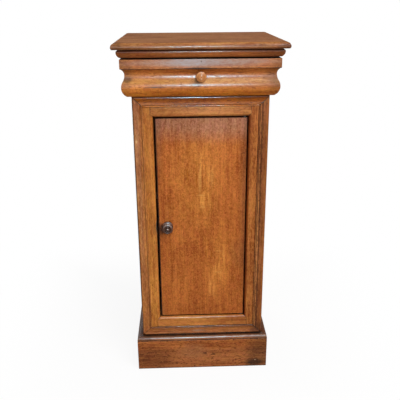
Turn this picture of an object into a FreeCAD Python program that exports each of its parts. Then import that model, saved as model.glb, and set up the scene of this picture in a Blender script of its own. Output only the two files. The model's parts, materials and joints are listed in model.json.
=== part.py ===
"""A tall oak bedside cabinet: one ogee frieze drawer over a pivot-hung cupboard door, on a plinth.

The front faces -Y, +X is the right side seen from the front and +Z is up. The pieces are drawn
with the face of the front frame at y = 0 and the floor at z = 0, and are moved back together at
the end, so that the origin lies on the floor in the middle of the cabinet's outline.
"""

import FreeCAD, Part
import math
import os

# Carcass
BODY_WIDTH = 320.0  # over the outer faces of the two sides
BODY_DEPTH = 318.0  # from the face of the front frame to the back edges of the sides
SIDE_THICKNESS = 18.0
BACK_THICKNESS = 12.0
BACK_RABBET = 8.0  # how far the back boards lap onto each side
BACK_LIFT = 40.0  # open space between the floor and the back boards
BACK_TONGUE = 5.0  # length of the tongue between two back boards
BACK_TONGUE_THICKNESS = 4.0
FLOOR_THICKNESS = 16.0
FLOOR_DROP = 2.0  # cupboard floor below the upper edge of the lower rail
DIVIDER_THICKNESS = 14.0  # dust board between the drawer and the cupboard
HOUSING = 6.0  # depth of the grooves that hold the floor and the divider in the sides
SIDE_TONGUE = 8.0  # tongue of each side in the back of its stile
SIDE_TONGUE_THICKNESS = 6.0

# Heights of the tiers, from the floor up
PLINTH_HEIGHT = 88.5
CAP_HEIGHT = 11.0
FRAME_HEIGHT = 642.0
DRAWER_OPENING = 88.8
CORNICE_HEIGHT = 18.2
TOP_THICKNESS = 14.0

# Front frame, with its planted edge moulding
FRAME_THICKNESS = 22.0
MOULDING_WIDTH = 24.5
MOULDING_PROUD = 2.0
MOULDING_LET_IN = 8.0
MOULDING_OUTER_ROUND = 4.0
MOULDING_BEAD = 1.6  # radius of the inner bead
MOULDING_QUIRK_WIDTH = 1.0
MOULDING_QUIRK_DEPTH = 2.4
MOULDING_HOLLOW = 1.2  # how far the face dips between its two edges
STILE_SHOWN = 23.0  # width seen between the edge moulding and the opening
UPPER_RAIL_SHOWN = 24.1
LOWER_RAIL_SHOWN = 28.5
EDGE_ROUND = 6.5  # rounded inner edge of stiles and rails
TENON_LENGTH = 22.0
TENON_THICKNESS = 7.0
TENON_WALL = 2.0  # wood between the let-in moulding and a mortise
TENON_SHOULDER = 4.0  # step above and below a tenon

# Plinth
PLINTH_OUT = 14.7
PLINTH_EASE = 1.5  # rounded upper edge
CAP_QUIRK_HEIGHT = 1.2
CAP_QUIRK_DEPTH = 1.5
BLOCK_LEG = 24.0  # glue blocks under the cupboard floor
BLOCK_LENGTH = 60.0
BLOCKS_PER_SIDE = 3

# Frieze: the drawer front and the two side mouldings share this ogee
FRIEZE_LIFT = 1.2  # gap under the frieze
FRIEZE_DROP = 3.6  # gap over the frieze
FOOT_OUT = 8.5
BULGE_OUT = 20.2
BULGE_UP = 21.3
COVE_OUT = 12.2
COVE_BELOW_FILLET = 14.2
FILLET_OUT = 21.5
FILLET_HEIGHT = 20.5
FILLET_EASE = 1.2  # rounded upper edge

# Cornice under the top, and the top's nose
CORNICE_FOOT_OUT = 20.5
CORNICE_BELLY_OUT = 27.5
CORNICE_BELLY_UP = 12.2
CORNICE_HEAD_OUT = 24.5
CORNICE_QUIRK_OUT = 21.0
CORNICE_QUIRK_HEIGHT = 2.0  # dark groove between the moulding and the top
TOP_OUT = 37.6
TOP_NOSE_UP = 5.0
TOP_UNDER_SET = 2.5  # how far the lower edge stands back from the nose
TOP_UPPER_SET = 8.0  # how far the upper surface stands back from the nose
TOP_BACK_OUT = 2.0
TOP_RAIL_TONGUE = 8.0
CLEAT_WIDTH = 20.0  # strips under the top, which also keep the drawer level
CLEAT_INSET = 4.0  # free space at each end of a cleat

# Shelf
SHELF_HEIGHT = 332.0  # upper face above the cupboard floor
SHELF_THICKNESS = 14.0
SHELF_SETBACK = 38.0  # behind the front frame
SHELF_PLAY = 0.5
BATTEN_SIZE = 16.0

# Drawer
DRAWER_PLAY = 1.0  # at each side of the drawer box
DRAWER_SIDE_THICKNESS = 11.0
DRAWER_SIDE_DROP = 4.0  # drawer sides below the opening's upper edge
DRAWER_BACK_THICKNESS = 10.0
DRAWER_BACK_DROP = 6.0  # drawer back below the drawer sides
DRAWER_BACK_SPACE = 13.0  # left free behind the drawer
DRAWER_BOTTOM_THICKNESS = 6.0
DRAWER_BOTTOM_UP = 6.0  # bottom panel above the lower edge of the sides
DRAWER_GROOVE = 5.0
DOVETAIL_DEPTH = 8.0
DOVETAIL_NECK = 6.0
DOVETAIL_ROOT = 9.0
DOVETAIL_STOP = 10.0  # groove ends this far below the drawer front's upper edge
PINS = 3
PIN_NARROW = 9.0
PIN_WIDE = 13.0
DRAWER_STOP_GAP = 0.5

# Drawer knob, turned: radii, and how far out they are from its seat
DRAWER_KNOB_UP = 46.3  # axis above the drawer front's lower edge
DRAWER_KNOB_LENGTH = 25.0
DRAWER_KNOB_SHOULDER = 7.5
DRAWER_KNOB_NECK = 6.0
DRAWER_KNOB_NECK_OUT = 7.5
DRAWER_KNOB_RIM = 12.0
DRAWER_KNOB_RIM_OUT = 20.0
DRAWER_KNOB_EDGE = 2.5  # round of the head's edge
DRAWER_KNOB_TENON = 5.0
DRAWER_KNOB_TENON_LENGTH = 16.0
LATHE_MARK = 1.2  # depth and half width of the centre mark

# Door and its pivots
DOOR_THICKNESS = 15.0
DOOR_RECESS = 7.0
DOOR_GAP_LATCH = 4.0
DOOR_GAP_HINGE = 2.5
DOOR_GAP_TOP = 4.4
DOOR_GAP_BOTTOM = 2.5
DOOR_EASE = 1.0
PIVOT_RADIUS = 3.0
PIVOT_FROM_EDGE = 6.0
PIVOT_FROM_FACE = 4.5
PIVOT_IN_DOOR = 20.0
PIVOT_IN_RAIL = 16.0
WASHER_RADIUS = 6.0

# Door knob with its turning latch
DOOR_KNOB_FROM_EDGE = 23.5
DOOR_KNOB_UP = 258.5  # axis above the lower edge of the door
DOOR_KNOB_LENGTH = 26.0
DOOR_KNOB_BASE = 13.8  # radius of the rosette
DOOR_KNOB_BASE_EDGE = 3.2
DOOR_KNOB_BASE_EASE = 1.2
DOOR_KNOB_NECK = 6.4
DOOR_KNOB_NECK_OUT = 8.5
DOOR_KNOB_RIM = 12.2  # radius of the head
DOOR_KNOB_RIM_OUT = 18.5
DOOR_KNOB_RIM_ROUND = 2.6
DOOR_KNOB_RING_WIDTH = 1.6
DOOR_KNOB_DISH = 2.2  # hollow between the ring and the button
DOOR_KNOB_BUTTON = 4.0
DOOR_KNOB_DOME = 3.2  # height of the button's rounded end
SPINDLE_RADIUS = 4.0
SPINDLE_IN_KNOB = 14.0
TONGUE_LENGTH = 44.0
TONGUE_WIDTH = 14.0
TONGUE_THICKNESS = 3.0
NUT_SIZE = 13.0
NUT_THICKNESS = 5.0
STRIKE_HEIGHT = 56.0
STRIKE_THICKNESS = 1.2
STRIKE_BACK_WIDTH = 18.0
STRIKE_SCREW_RADIUS = 1.4
STRIKE_SCREW_LENGTH = 12.0
STRIKE_SCREW_SPACING = 36.0
WEAR_LENGTH = 34.0  # hollow worn by fingers in the stile beside the knob
WEAR_DEPTH = 1.8

# Clearances
FIT = 0.1  # glued joints
ROUND_FIT = 0.2  # driven and glued round pieces
RUN = 0.3  # pieces that move past each other
PIN_FIT = 0.05  # pins and spindles that turn in their holes

# Levels and lines that several pieces share
HALF = BODY_WIDTH / 2
INNER = HALF - SIDE_THICKNESS
Z_CAP = PLINTH_HEIGHT
Z_FRAME = Z_CAP + CAP_HEIGHT
Z_DRAWER = Z_FRAME + FRAME_HEIGHT
Z_CORNICE = Z_DRAWER + DRAWER_OPENING
Z_CARCASS = Z_CORNICE + CORNICE_HEIGHT
Z_TOP = Z_CARCASS + TOP_THICKNESS
Y_BACK = BODY_DEPTH - BACK_THICKNESS

OPENING_X = HALF - MOULDING_WIDTH - STILE_SHOWN
OPENING_Z0 = Z_FRAME + MOULDING_WIDTH + LOWER_RAIL_SHOWN
OPENING_Z1 = Z_DRAWER - MOULDING_WIDTH - UPPER_RAIL_SHOWN
SHOULDER_X = OPENING_X + EDGE_ROUND
FLOOR_TOP = OPENING_Z0 - FLOOR_DROP
SHELF_TOP = FLOOR_TOP + SHELF_HEIGHT
SHELF_UNDER = SHELF_TOP - SHELF_THICKNESS
TONGUE_X = INNER + (SIDE_THICKNESS - SIDE_TONGUE_THICKNESS) / 2

FRIEZE_Z0 = Z_DRAWER + FRIEZE_LIFT
FRIEZE_Z1 = Z_CORNICE - FRIEZE_DROP
DRAWER_FRONT_BACK = FRAME_THICKNESS - DRAWER_STOP_GAP
DRAWER_HALF = INNER - DRAWER_PLAY
DRAWER_INNER = DRAWER_HALF - DRAWER_SIDE_THICKNESS
DRAWER_Z0 = Z_DRAWER + RUN
DRAWER_Z1 = Z_CORNICE - DRAWER_SIDE_DROP
DRAWER_END = Y_BACK - DRAWER_BACK_SPACE
DRAWER_BACK_FRONT = DRAWER_END - DRAWER_BACK_THICKNESS
PANEL_Z0 = DRAWER_Z0 + DRAWER_BOTTOM_UP
PANEL_Z1 = PANEL_Z0 + DRAWER_BOTTOM_THICKNESS
KNOB_Z = FRIEZE_Z0 + DRAWER_KNOB_UP

DOOR_X0 = -OPENING_X + DOOR_GAP_LATCH
DOOR_X1 = OPENING_X - DOOR_GAP_HINGE
DOOR_Z0 = OPENING_Z0 + DOOR_GAP_BOTTOM
DOOR_Z1 = OPENING_Z1 - DOOR_GAP_TOP
DOOR_BACK = DOOR_RECESS + DOOR_THICKNESS
PIVOT_X = DOOR_X1 - PIVOT_FROM_EDGE
PIVOT_Y = DOOR_RECESS + PIVOT_FROM_FACE
LATCH_X = DOOR_X0 + DOOR_KNOB_FROM_EDGE
LATCH_Z = DOOR_Z0 + DOOR_KNOB_UP
TONGUE_Y = max(DOOR_BACK, FRAME_THICKNESS + STRIKE_THICKNESS) + RUN
NUT_Y = TONGUE_Y + TONGUE_THICKNESS

FRONT_REACH = max(TOP_OUT, COVE_OUT + DRAWER_KNOB_LENGTH)
BACK_REACH = BODY_DEPTH + TOP_BACK_OUT
Y_SHIFT = (FRONT_REACH - BACK_REACH) / 2
REACH = BODY_WIDTH + BODY_DEPTH  # longer than any cut needs

X_AXIS = FreeCAD.Vector(1, 0, 0)
Y_AXIS = FreeCAD.Vector(0, 1, 0)


def vec(x, y, z):
    return FreeCAD.Vector(x, y, z)


def block(x0, x1, y0, y1, z0, z1):
    """A squared piece between two corners."""
    return Part.makeBox(x1 - x0, y1 - y0, z1 - z0, vec(x0, y0, z0))


def prism(points, along):
    """A flat outline of corner points, drawn out along a vector."""
    return Part.Face(Part.makePolygon(points + points[:1])).extrude(along)


def rod(radius, start, along):
    """A round bar from a point along a vector."""
    return Part.makeCylinder(radius, along.Length, start, along)


def mirrored(shape):
    """The same piece for the other side of the cabinet."""
    return shape.mirror(vec(0, 0, 0), X_AXIS)


def joined(*shapes):
    """Several shapes that are one piece of wood or metal."""
    return shapes[0].multiFuse(list(shapes[1:])).removeSplitter()


def spread(count, first, last):
    """Even places from first to last."""
    return [first + (last - first) * i / (count - 1) for i in range(count)]


class Outline:
    """A closed outline of lines and arcs, in two lengths: out from a face and up from a level."""

    def __init__(self, out, up):
        self.first = (out, up)
        self.here = (out, up)
        self.steps = []

    def line(self, out, up):
        self.steps.append((self.here, None, (out, up)))
        self.here = (out, up)
        return self

    def arc(self, via, to):
        """An arc through one point to another."""
        self.steps.append((self.here, via, to))
        self.here = to
        return self

    def turn(self, centre, to):
        """An arc of under half a circle about a centre."""
        from_centre = [h - c for h, c in zip(self.here, centre)]
        to_centre = [t - c for t, c in zip(to, centre)]
        radius = math.hypot(*from_centre)
        middle = [a + b for a, b in zip(from_centre, to_centre)]
        length = math.hypot(*middle)
        via = tuple(c + m * radius / length for c, m in zip(centre, middle))
        return self.arc(via, to)

    def face(self, place):
        """The outline as a flat face, with place giving the point for each out and up."""
        edges = []
        for start, via, end in self.steps + [(self.here, None, self.first)]:
            if via is None:
                edges.append(Part.LineSegment(place(*start), place(*end)).toShape())
            else:
                edges.append(Part.Arc(place(*start), place(*via), place(*end)).toShape())
        return Part.Face(Part.Wire(edges))


def bowed(start_out, belly_out, height):
    """Radius of the arc that leaves a belly upright and reaches another out at that height."""
    fall = abs(belly_out - start_out)
    return (fall * fall + height * height) / (2 * fall)


def front_run(outline, z0):
    """An outline drawn across the whole front, longer than the mitres need."""
    face = outline.face(lambda out, up: vec(-REACH, -out, z0 + up))
    return face.extrude(vec(2 * REACH, 0, 0))


def right_run(outline, z0, y0, y1):
    """An outline drawn along the right side."""
    face = outline.face(lambda out, up: vec(HALF + out, y0, z0 + up))
    return face.extrude(vec(0, y1 - y0, 0))


def mitred_front(outline, z0):
    """The front length of a moulding that returns along both sides, mitred at its ends."""
    plan = prism(
        [
            vec(-HALF, 0, 0),
            vec(HALF, 0, 0),
            vec(HALF + REACH, -REACH, 0),
            vec(-HALF - REACH, -REACH, 0),
        ],
        vec(0, 0, Z_TOP),
    )
    return front_run(outline, z0).common(plan)


def mitred_right(outline, z0):
    """The right-hand return of the same moulding."""
    plan = prism(
        [
            vec(HALF, 0, 0),
            vec(HALF + REACH, -REACH, 0),
            vec(HALF + REACH, BODY_DEPTH, 0),
            vec(HALF, BODY_DEPTH, 0),
        ],
        vec(0, 0, Z_TOP),
    )
    return right_run(outline, z0, -REACH, BODY_DEPTH).common(plan)


def three_sided(name, outline, z0):
    """A mitred front and its two returns, as named pieces."""
    right = mitred_right(outline, z0)
    return {
        name + "_front": mitred_front(outline, z0),
        name + "_left": mirrored(right),
        name + "_right": right,
    }


def returned(outline_of, z0, back):
    """A solid front down to a flat back, whose moulded section also runs round both of its ends."""
    right = right_run(outline_of(-HALF), z0, -REACH, back)
    return front_run(outline_of(-back), z0).common(joined(right, mirrored(right)))


def ogee_outline(root):
    """The frieze section, from its flat back at out = root to the moulded face."""
    height = FRIEZE_Z1 - FRIEZE_Z0
    fillet_up = height - FILLET_HEIGHT
    cove_up = fillet_up - COVE_BELOW_FILLET
    fall = BULGE_OUT - COVE_OUT
    rise = cove_up - BULGE_UP
    sweep = (fall * fall + rise * rise) / (4 * fall)
    inflection = ((BULGE_OUT + COVE_OUT) / 2, (BULGE_UP + cove_up) / 2)
    lower = bowed(FOOT_OUT, BULGE_OUT, BULGE_UP)
    upper = bowed(FILLET_OUT, COVE_OUT, COVE_BELOW_FILLET)
    ease_centre = (FILLET_OUT - FILLET_EASE, height - FILLET_EASE)
    outline = Outline(root, 0).line(FOOT_OUT, 0)
    outline.turn((BULGE_OUT - lower, BULGE_UP), (BULGE_OUT, BULGE_UP))
    outline.turn((BULGE_OUT - sweep, BULGE_UP), inflection)
    outline.turn((COVE_OUT + sweep, cove_up), (COVE_OUT, cove_up))
    outline.turn((COVE_OUT + upper, cove_up), (FILLET_OUT, fillet_up))
    outline.line(FILLET_OUT, ease_centre[1])
    outline.turn(ease_centre, (ease_centre[0], height))
    return outline.line(root, height)


def cornice_outline():
    """An ovolo that swells upwards, turns in and ends in a quirk under the top."""
    head_up = CORNICE_HEIGHT - CORNICE_QUIRK_HEIGHT
    lower = bowed(CORNICE_FOOT_OUT, CORNICE_BELLY_OUT, CORNICE_BELLY_UP)
    upper = bowed(CORNICE_HEAD_OUT, CORNICE_BELLY_OUT, head_up - CORNICE_BELLY_UP)
    outline = Outline(0, 0).line(CORNICE_FOOT_OUT, 0)
    outline.turn((CORNICE_BELLY_OUT - lower, CORNICE_BELLY_UP), (CORNICE_BELLY_OUT, CORNICE_BELLY_UP))
    outline.turn((CORNICE_BELLY_OUT - upper, CORNICE_BELLY_UP), (CORNICE_HEAD_OUT, head_up))
    outline.line(CORNICE_QUIRK_OUT, head_up).line(CORNICE_QUIRK_OUT, CORNICE_HEIGHT)
    return outline.line(0, CORNICE_HEIGHT)


def top_outline(root):
    """The top's section: a thumbnail nose, fuller above than below."""
    under_out = TOP_OUT - TOP_UNDER_SET
    upper_out = TOP_OUT - TOP_UPPER_SET
    under = bowed(under_out, TOP_OUT, TOP_NOSE_UP)
    upper = bowed(upper_out, TOP_OUT, TOP_THICKNESS - TOP_NOSE_UP)
    outline = Outline(root, 0).line(under_out, 0)
    outline.turn((TOP_OUT - under, TOP_NOSE_UP), (TOP_OUT, TOP_NOSE_UP))
    outline.turn((TOP_OUT - upper, TOP_NOSE_UP), (upper_out, TOP_THICKNESS))
    return outline.line(root, TOP_THICKNESS)


def cap_outline():
    """The plinth's rounded cap, over a narrow quirk."""
    radius = CAP_HEIGHT - CAP_QUIRK_HEIGHT
    centre = (PLINTH_OUT - radius, CAP_QUIRK_HEIGHT)
    outline = Outline(0, 0).line(PLINTH_OUT - CAP_QUIRK_DEPTH, 0)
    outline.line(PLINTH_OUT - CAP_QUIRK_DEPTH, CAP_QUIRK_HEIGHT).line(PLINTH_OUT, CAP_QUIRK_HEIGHT)
    outline.turn(centre, (centre[0], CAP_HEIGHT))
    return outline.line(0, CAP_HEIGHT)


def plinth_outline():
    """A plain board with a softened upper edge."""
    centre = (PLINTH_OUT - PLINTH_EASE, PLINTH_HEIGHT - PLINTH_EASE)
    outline = Outline(0, 0).line(PLINTH_OUT, 0).line(PLINTH_OUT, centre[1])
    return outline.turn(centre, (centre[0], PLINTH_HEIGHT)).line(0, PLINTH_HEIGHT)


def edge_moulding_outline():
    """The planted moulding: out is across it from its outer edge, up is from its hidden back."""
    height = MOULDING_LET_IN + MOULDING_PROUD
    bead_in = MOULDING_WIDTH - 2 * MOULDING_BEAD
    bead_centre = (MOULDING_WIDTH - MOULDING_BEAD, height - MOULDING_BEAD)
    quirk_in = bead_in - MOULDING_QUIRK_WIDTH
    quirk_up = height - MOULDING_QUIRK_DEPTH
    face_up = height - MOULDING_HOLLOW / 2
    hollow_out = (quirk_in + MOULDING_OUTER_ROUND) / 2
    round_centre = (MOULDING_OUTER_ROUND, height - MOULDING_OUTER_ROUND)
    outline = Outline(0, 0).line(MOULDING_WIDTH, 0).line(MOULDING_WIDTH, bead_centre[1])
    outline.turn(bead_centre, (bead_centre[0], height))
    outline.turn(bead_centre, (bead_in, bead_centre[1]))
    outline.line(bead_in, quirk_up).line(quirk_in, quirk_up).line(quirk_in, face_up)
    outline.arc((hollow_out, height - MOULDING_HOLLOW), (MOULDING_OUTER_ROUND, height))
    outline.turn(round_centre, (0, round_centre[1]))
    return outline


def top_pieces():
    """The top board, with its nose on the front and both ends and a square back edge."""
    board = returned(top_outline, Z_CARCASS, BODY_DEPTH + TOP_BACK_OUT)
    return {"top_board": board}


def cleat_pieces():
    """Strips that hold the top to the sides and keep the drawer from tipping."""
    y0 = FRAME_THICKNESS + TOP_RAIL_TONGUE + CLEAT_INSET
    cleat = block(INNER - CLEAT_WIDTH, INNER, y0, Y_BACK - CLEAT_INSET, Z_CORNICE, Z_CARCASS)
    return {"top_cleat_left": mirrored(cleat), "top_cleat_right": cleat}


def top_rail_pieces():
    """The rail over the drawer, tongued into the front edges of the sides."""
    rail = block(-HALF, HALF, 0, FRAME_THICKNESS, Z_CORNICE, Z_CARCASS)
    tongue = block(
        TONGUE_X,
        TONGUE_X + SIDE_TONGUE_THICKNESS,
        FRAME_THICKNESS,
        FRAME_THICKNESS + TOP_RAIL_TONGUE,
        Z_CORNICE,
        Z_CARCASS,
    )
    return {"top_rail": joined(rail, tongue, mirrored(tongue))}


def shelf_pieces():
    """A loose shelf on two battens fixed to the sides."""
    y0 = FRAME_THICKNESS + SHELF_SETBACK
    shelf = block(
        -INNER + SHELF_PLAY, INNER - SHELF_PLAY, y0, Y_BACK - SHELF_PLAY, SHELF_UNDER, SHELF_TOP
    )
    batten = block(INNER - BATTEN_SIZE, INNER, y0, Y_BACK, SHELF_UNDER - BATTEN_SIZE, SHELF_UNDER)
    return {"shelf": shelf, "shelf_batten_left": mirrored(batten), "shelf_batten_right": batten}


def housed_board(z0, z1, clearance):
    """A level board let into both sides, or with a clearance the room that it needs."""
    x = INNER + HOUSING + clearance
    return block(-x, x, FRAME_THICKNESS, Y_BACK, z0 - clearance, z1 + clearance)


def side_pieces():
    """The right side: tongued to its stile, grooved for floor and divider, rabbeted for the back."""
    side = block(INNER, HALF, FRAME_THICKNESS, BODY_DEPTH, 0, Z_CARCASS)
    tongue = block(
        TONGUE_X,
        TONGUE_X + SIDE_TONGUE_THICKNESS,
        FRAME_THICKNESS - SIDE_TONGUE,
        FRAME_THICKNESS,
        0,
        Z_DRAWER,
    )
    side = joined(side, tongue)
    side = side.cut(housed_board(FLOOR_TOP - FLOOR_THICKNESS, FLOOR_TOP, FIT))
    side = side.cut(housed_board(Z_DRAWER - DIVIDER_THICKNESS, Z_DRAWER, FIT))
    side = side.cut(block(INNER, INNER + BACK_RABBET + FIT, Y_BACK, BODY_DEPTH, 0, Z_CARCASS))
    slot = block(
        TONGUE_X - FIT,
        TONGUE_X + SIDE_TONGUE_THICKNESS + FIT,
        FRAME_THICKNESS,
        FRAME_THICKNESS + TOP_RAIL_TONGUE + FIT,
        Z_CORNICE,
        Z_CARCASS,
    )
    side = side.cut(slot)
    return {"side_left": mirrored(side), "side_right": side}


def level_boards():
    """The cupboard floor and the divider under the drawer."""
    return {
        "cupboard_floor": housed_board(FLOOR_TOP - FLOOR_THICKNESS, FLOOR_TOP, 0),
        "drawer_divider": housed_board(Z_DRAWER - DIVIDER_THICKNESS, Z_DRAWER, 0),
    }


def back_pieces():
    """Upright back boards, tongued and grooved edge to edge in the rabbets of the sides."""
    names = ["back_board_left", "back_board_middle", "back_board_right"]
    width = 2 * (INNER + BACK_RABBET) / len(names)
    middle = (Y_BACK + BODY_DEPTH) / 2
    half = BACK_TONGUE_THICKNESS / 2
    pieces = {}
    for i, name in enumerate(names):
        x0 = -INNER - BACK_RABBET + i * width
        x1 = x0 + width
        board = block(x0, x1, Y_BACK, BODY_DEPTH, BACK_LIFT, Z_CARCASS)
        if i < len(names) - 1:
            tongue = block(x1, x1 + BACK_TONGUE, middle - half, middle + half, BACK_LIFT, Z_CARCASS)
            board = joined(board, tongue)
        if i > 0:
            groove = block(
                x0,
                x0 + BACK_TONGUE + FIT,
                middle - half - FIT,
                middle + half + FIT,
                BACK_LIFT,
                Z_CARCASS,
            )
            board = board.cut(groove)
        pieces[name] = board
    return pieces


def tenon(z0, z1, clearance):
    """The right-hand tenon of a rail, or with a clearance its mortise."""
    y0 = MOULDING_LET_IN + TENON_WALL
    return block(
        SHOULDER_X,
        SHOULDER_X + TENON_LENGTH + clearance,
        y0 - clearance,
        y0 + TENON_THICKNESS + clearance,
        z0 + TENON_SHOULDER - clearance,
        z1 - TENON_SHOULDER + clearance,
    )


def moulding_bed():
    """The rebate all round the front frame that the edge moulding is planted in."""
    outer = block(-HALF, HALF, 0, MOULDING_LET_IN, Z_FRAME, Z_DRAWER)
    inner = block(
        -HALF + MOULDING_WIDTH,
        HALF - MOULDING_WIDTH,
        0,
        MOULDING_LET_IN,
        Z_FRAME + MOULDING_WIDTH,
        Z_DRAWER - MOULDING_WIDTH,
    )
    return outer.cut(inner)


def pivot_hole(z0, z1):
    return rod(PIVOT_RADIUS + PIN_FIT, vec(PIVOT_X, PIVOT_Y, z0), vec(0, 0, z1 - z0))


def rail(z0, z1, inner_z, inwards):
    """A rail between the stiles. Its inner edge is rounded and mitred where it meets theirs."""
    start_z = inner_z - inwards * EDGE_ROUND
    outer_z = z0 if inwards > 0 else z1
    section = Outline(0, outer_z).line(0, start_z)
    section.turn((-EDGE_ROUND, start_z), (-EDGE_ROUND, inner_z))
    section.line(-FRAME_THICKNESS, inner_z).line(-FRAME_THICKNESS, outer_z)
    body = front_run(section, 0)
    elevation = prism(
        [
            vec(-SHOULDER_X, 0, outer_z),
            vec(SHOULDER_X, 0, outer_z),
            vec(SHOULDER_X, 0, start_z),
            vec(OPENING_X, 0, inner_z),
            vec(-OPENING_X, 0, inner_z),
            vec(-SHOULDER_X, 0, start_z),
        ],
        vec(0, FRAME_THICKNESS, 0),
    )
    peg = tenon(z0, z1, 0)
    return joined(body.common(elevation).cut(moulding_bed()), peg, mirrored(peg))


def stile():
    """The right stile, from the floor to the drawer, with a rounded inner edge above the plinth."""
    section = Outline(OPENING_X, FRAME_THICKNESS).line(OPENING_X, EDGE_ROUND)
    section.turn((SHOULDER_X, EDGE_ROUND), (SHOULDER_X, 0)).line(HALF, 0).line(HALF, FRAME_THICKNESS)
    body = section.face(lambda x, y: vec(x, y, 0)).extrude(vec(0, 0, Z_DRAWER))
    for inner_z, end_z, inwards in ((OPENING_Z0, 0, 1), (OPENING_Z1, Z_DRAWER, -1)):
        notch = prism(
            [
                vec(OPENING_X, 0, inner_z),
                vec(SHOULDER_X, 0, inner_z - inwards * EDGE_ROUND),
                vec(SHOULDER_X, 0, end_z),
                vec(OPENING_X, 0, end_z),
            ],
            vec(0, FRAME_THICKNESS, 0),
        )
        body = body.cut(notch)
    groove = block(
        TONGUE_X - FIT,
        TONGUE_X + SIDE_TONGUE_THICKNESS + FIT,
        FRAME_THICKNESS - SIDE_TONGUE - FIT,
        FRAME_THICKNESS,
        0,
        Z_DRAWER,
    )
    body = body.cut(groove).cut(moulding_bed())
    body = body.cut(tenon(Z_FRAME, OPENING_Z0, FIT))
    return body.cut(tenon(OPENING_Z1, Z_DRAWER, FIT))


def strike(clearance):
    """The angled iron plate on the latch-side stile, or with a clearance the bed that it needs."""
    z0 = LATCH_Z - STRIKE_HEIGHT / 2 - clearance
    z1 = LATCH_Z + STRIKE_HEIGHT / 2 + clearance
    edge = -OPENING_X
    leg = block(
        edge - STRIKE_THICKNESS - clearance, edge, EDGE_ROUND - clearance, FRAME_THICKNESS, z0, z1
    )
    if clearance:
        return leg
    foot = block(
        edge - STRIKE_BACK_WIDTH,
        edge,
        FRAME_THICKNESS,
        FRAME_THICKNESS + STRIKE_THICKNESS,
        z0,
        z1,
    )
    return joined(leg, foot)


def strike_screws(clearance):
    """Two small screws through the plate's back leg into the stile."""
    x = -OPENING_X - (STRIKE_THICKNESS + STRIKE_BACK_WIDTH) / 2
    start = FRAME_THICKNESS + STRIKE_THICKNESS
    along = vec(0, -STRIKE_SCREW_LENGTH - clearance, 0)
    heights = [LATCH_Z - STRIKE_SCREW_SPACING / 2, LATCH_Z + STRIKE_SCREW_SPACING / 2]
    return [rod(STRIKE_SCREW_RADIUS + clearance, vec(x, start, z), along) for z in heights]


def finger_wear():
    """The shallow hollow that fingers have worn in the stile's edge beside the knob."""
    half = WEAR_LENGTH / 2
    radius = (half * half + WEAR_DEPTH * WEAR_DEPTH) / (2 * WEAR_DEPTH)
    centre = vec(-OPENING_X - WEAR_DEPTH + radius, 0, LATCH_Z)
    return rod(radius, centre, vec(0, EDGE_ROUND - FIT, 0))


def frame_pieces():
    """Two stiles and two rails, the planted mouldings round them, and the latch's strike plate."""
    right = stile()
    left = mirrored(right).cut(strike(FIT)).cut(finger_wear())
    for hole in strike_screws(ROUND_FIT):
        left = left.cut(hole)
    plate = strike(0)
    for hole in strike_screws(ROUND_FIT):
        plate = plate.cut(hole)
    upper = rail(OPENING_Z1, Z_DRAWER, OPENING_Z1, -1)
    lower = rail(Z_FRAME, OPENING_Z0, OPENING_Z0, 1)
    pieces = {
        "stile_left": left,
        "stile_right": right,
        "rail_upper": upper.cut(pivot_hole(OPENING_Z1, OPENING_Z1 + PIVOT_IN_RAIL + PIN_FIT)),
        "rail_lower": lower.cut(pivot_hole(OPENING_Z0 - PIVOT_IN_RAIL - PIN_FIT, OPENING_Z0)),
        "strike_plate": plate,
        "strike_screws": Part.makeCompound(strike_screws(0)),
    }
    pieces.update(edge_mouldings())
    return pieces


def edge_mouldings():
    """Four lengths of moulding round the front frame, mitred at the corners."""
    outline = edge_moulding_outline()
    w = MOULDING_WIDTH
    depth = vec(0, MOULDING_LET_IN + MOULDING_PROUD, 0)
    front = -MOULDING_PROUD

    def elevation(corners):
        return prism([vec(x, front, z) for x, z in corners], depth)

    upright = outline.face(lambda across, up: vec(HALF - across, MOULDING_LET_IN - up, Z_FRAME))
    right = upright.extrude(vec(0, 0, FRAME_HEIGHT)).common(
        elevation([(HALF, Z_FRAME), (HALF, Z_DRAWER), (HALF - w, Z_DRAWER - w), (HALF - w, Z_FRAME + w)])
    )
    head = outline.face(lambda across, up: vec(-HALF, MOULDING_LET_IN - up, Z_DRAWER - across))
    top = head.extrude(vec(BODY_WIDTH, 0, 0)).common(
        elevation([(-HALF, Z_DRAWER), (HALF, Z_DRAWER), (HALF - w, Z_DRAWER - w), (w - HALF, Z_DRAWER - w)])
    )
    foot = outline.face(lambda across, up: vec(-HALF, MOULDING_LET_IN - up, Z_FRAME + across))
    bottom = foot.extrude(vec(BODY_WIDTH, 0, 0)).common(
        elevation([(-HALF, Z_FRAME), (HALF, Z_FRAME), (HALF - w, Z_FRAME + w), (w - HALF, Z_FRAME + w)])
    )
    return {
        "edge_moulding_left": mirrored(right),
        "edge_moulding_right": right,
        "edge_moulding_top": top,
        "edge_moulding_bottom": bottom,
    }


def frieze_sides():
    """Ogee mouldings on the carcass sides that carry on the drawer front's section."""
    right = right_run(ogee_outline(0), FRIEZE_Z0, FRAME_THICKNESS, BODY_DEPTH)
    return {"frieze_left": mirrored(right), "frieze_right": right}


def glue_blocks():
    """Three-cornered blocks rubbed in under the cupboard floor, along both sides."""
    z1 = FLOOR_TOP - FLOOR_THICKNESS
    y_last = Y_BACK - BLOCK_LENGTH
    blocks = []
    for y in spread(BLOCKS_PER_SIDE, FRAME_THICKNESS, y_last):
        corner = [vec(INNER, y, z1), vec(INNER - BLOCK_LEG, y, z1), vec(INNER, y, z1 - BLOCK_LEG)]
        blocks.append(prism(corner, vec(0, BLOCK_LENGTH, 0)))
    return {"glue_blocks": Part.makeCompound(blocks + [mirrored(b) for b in blocks])}


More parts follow.
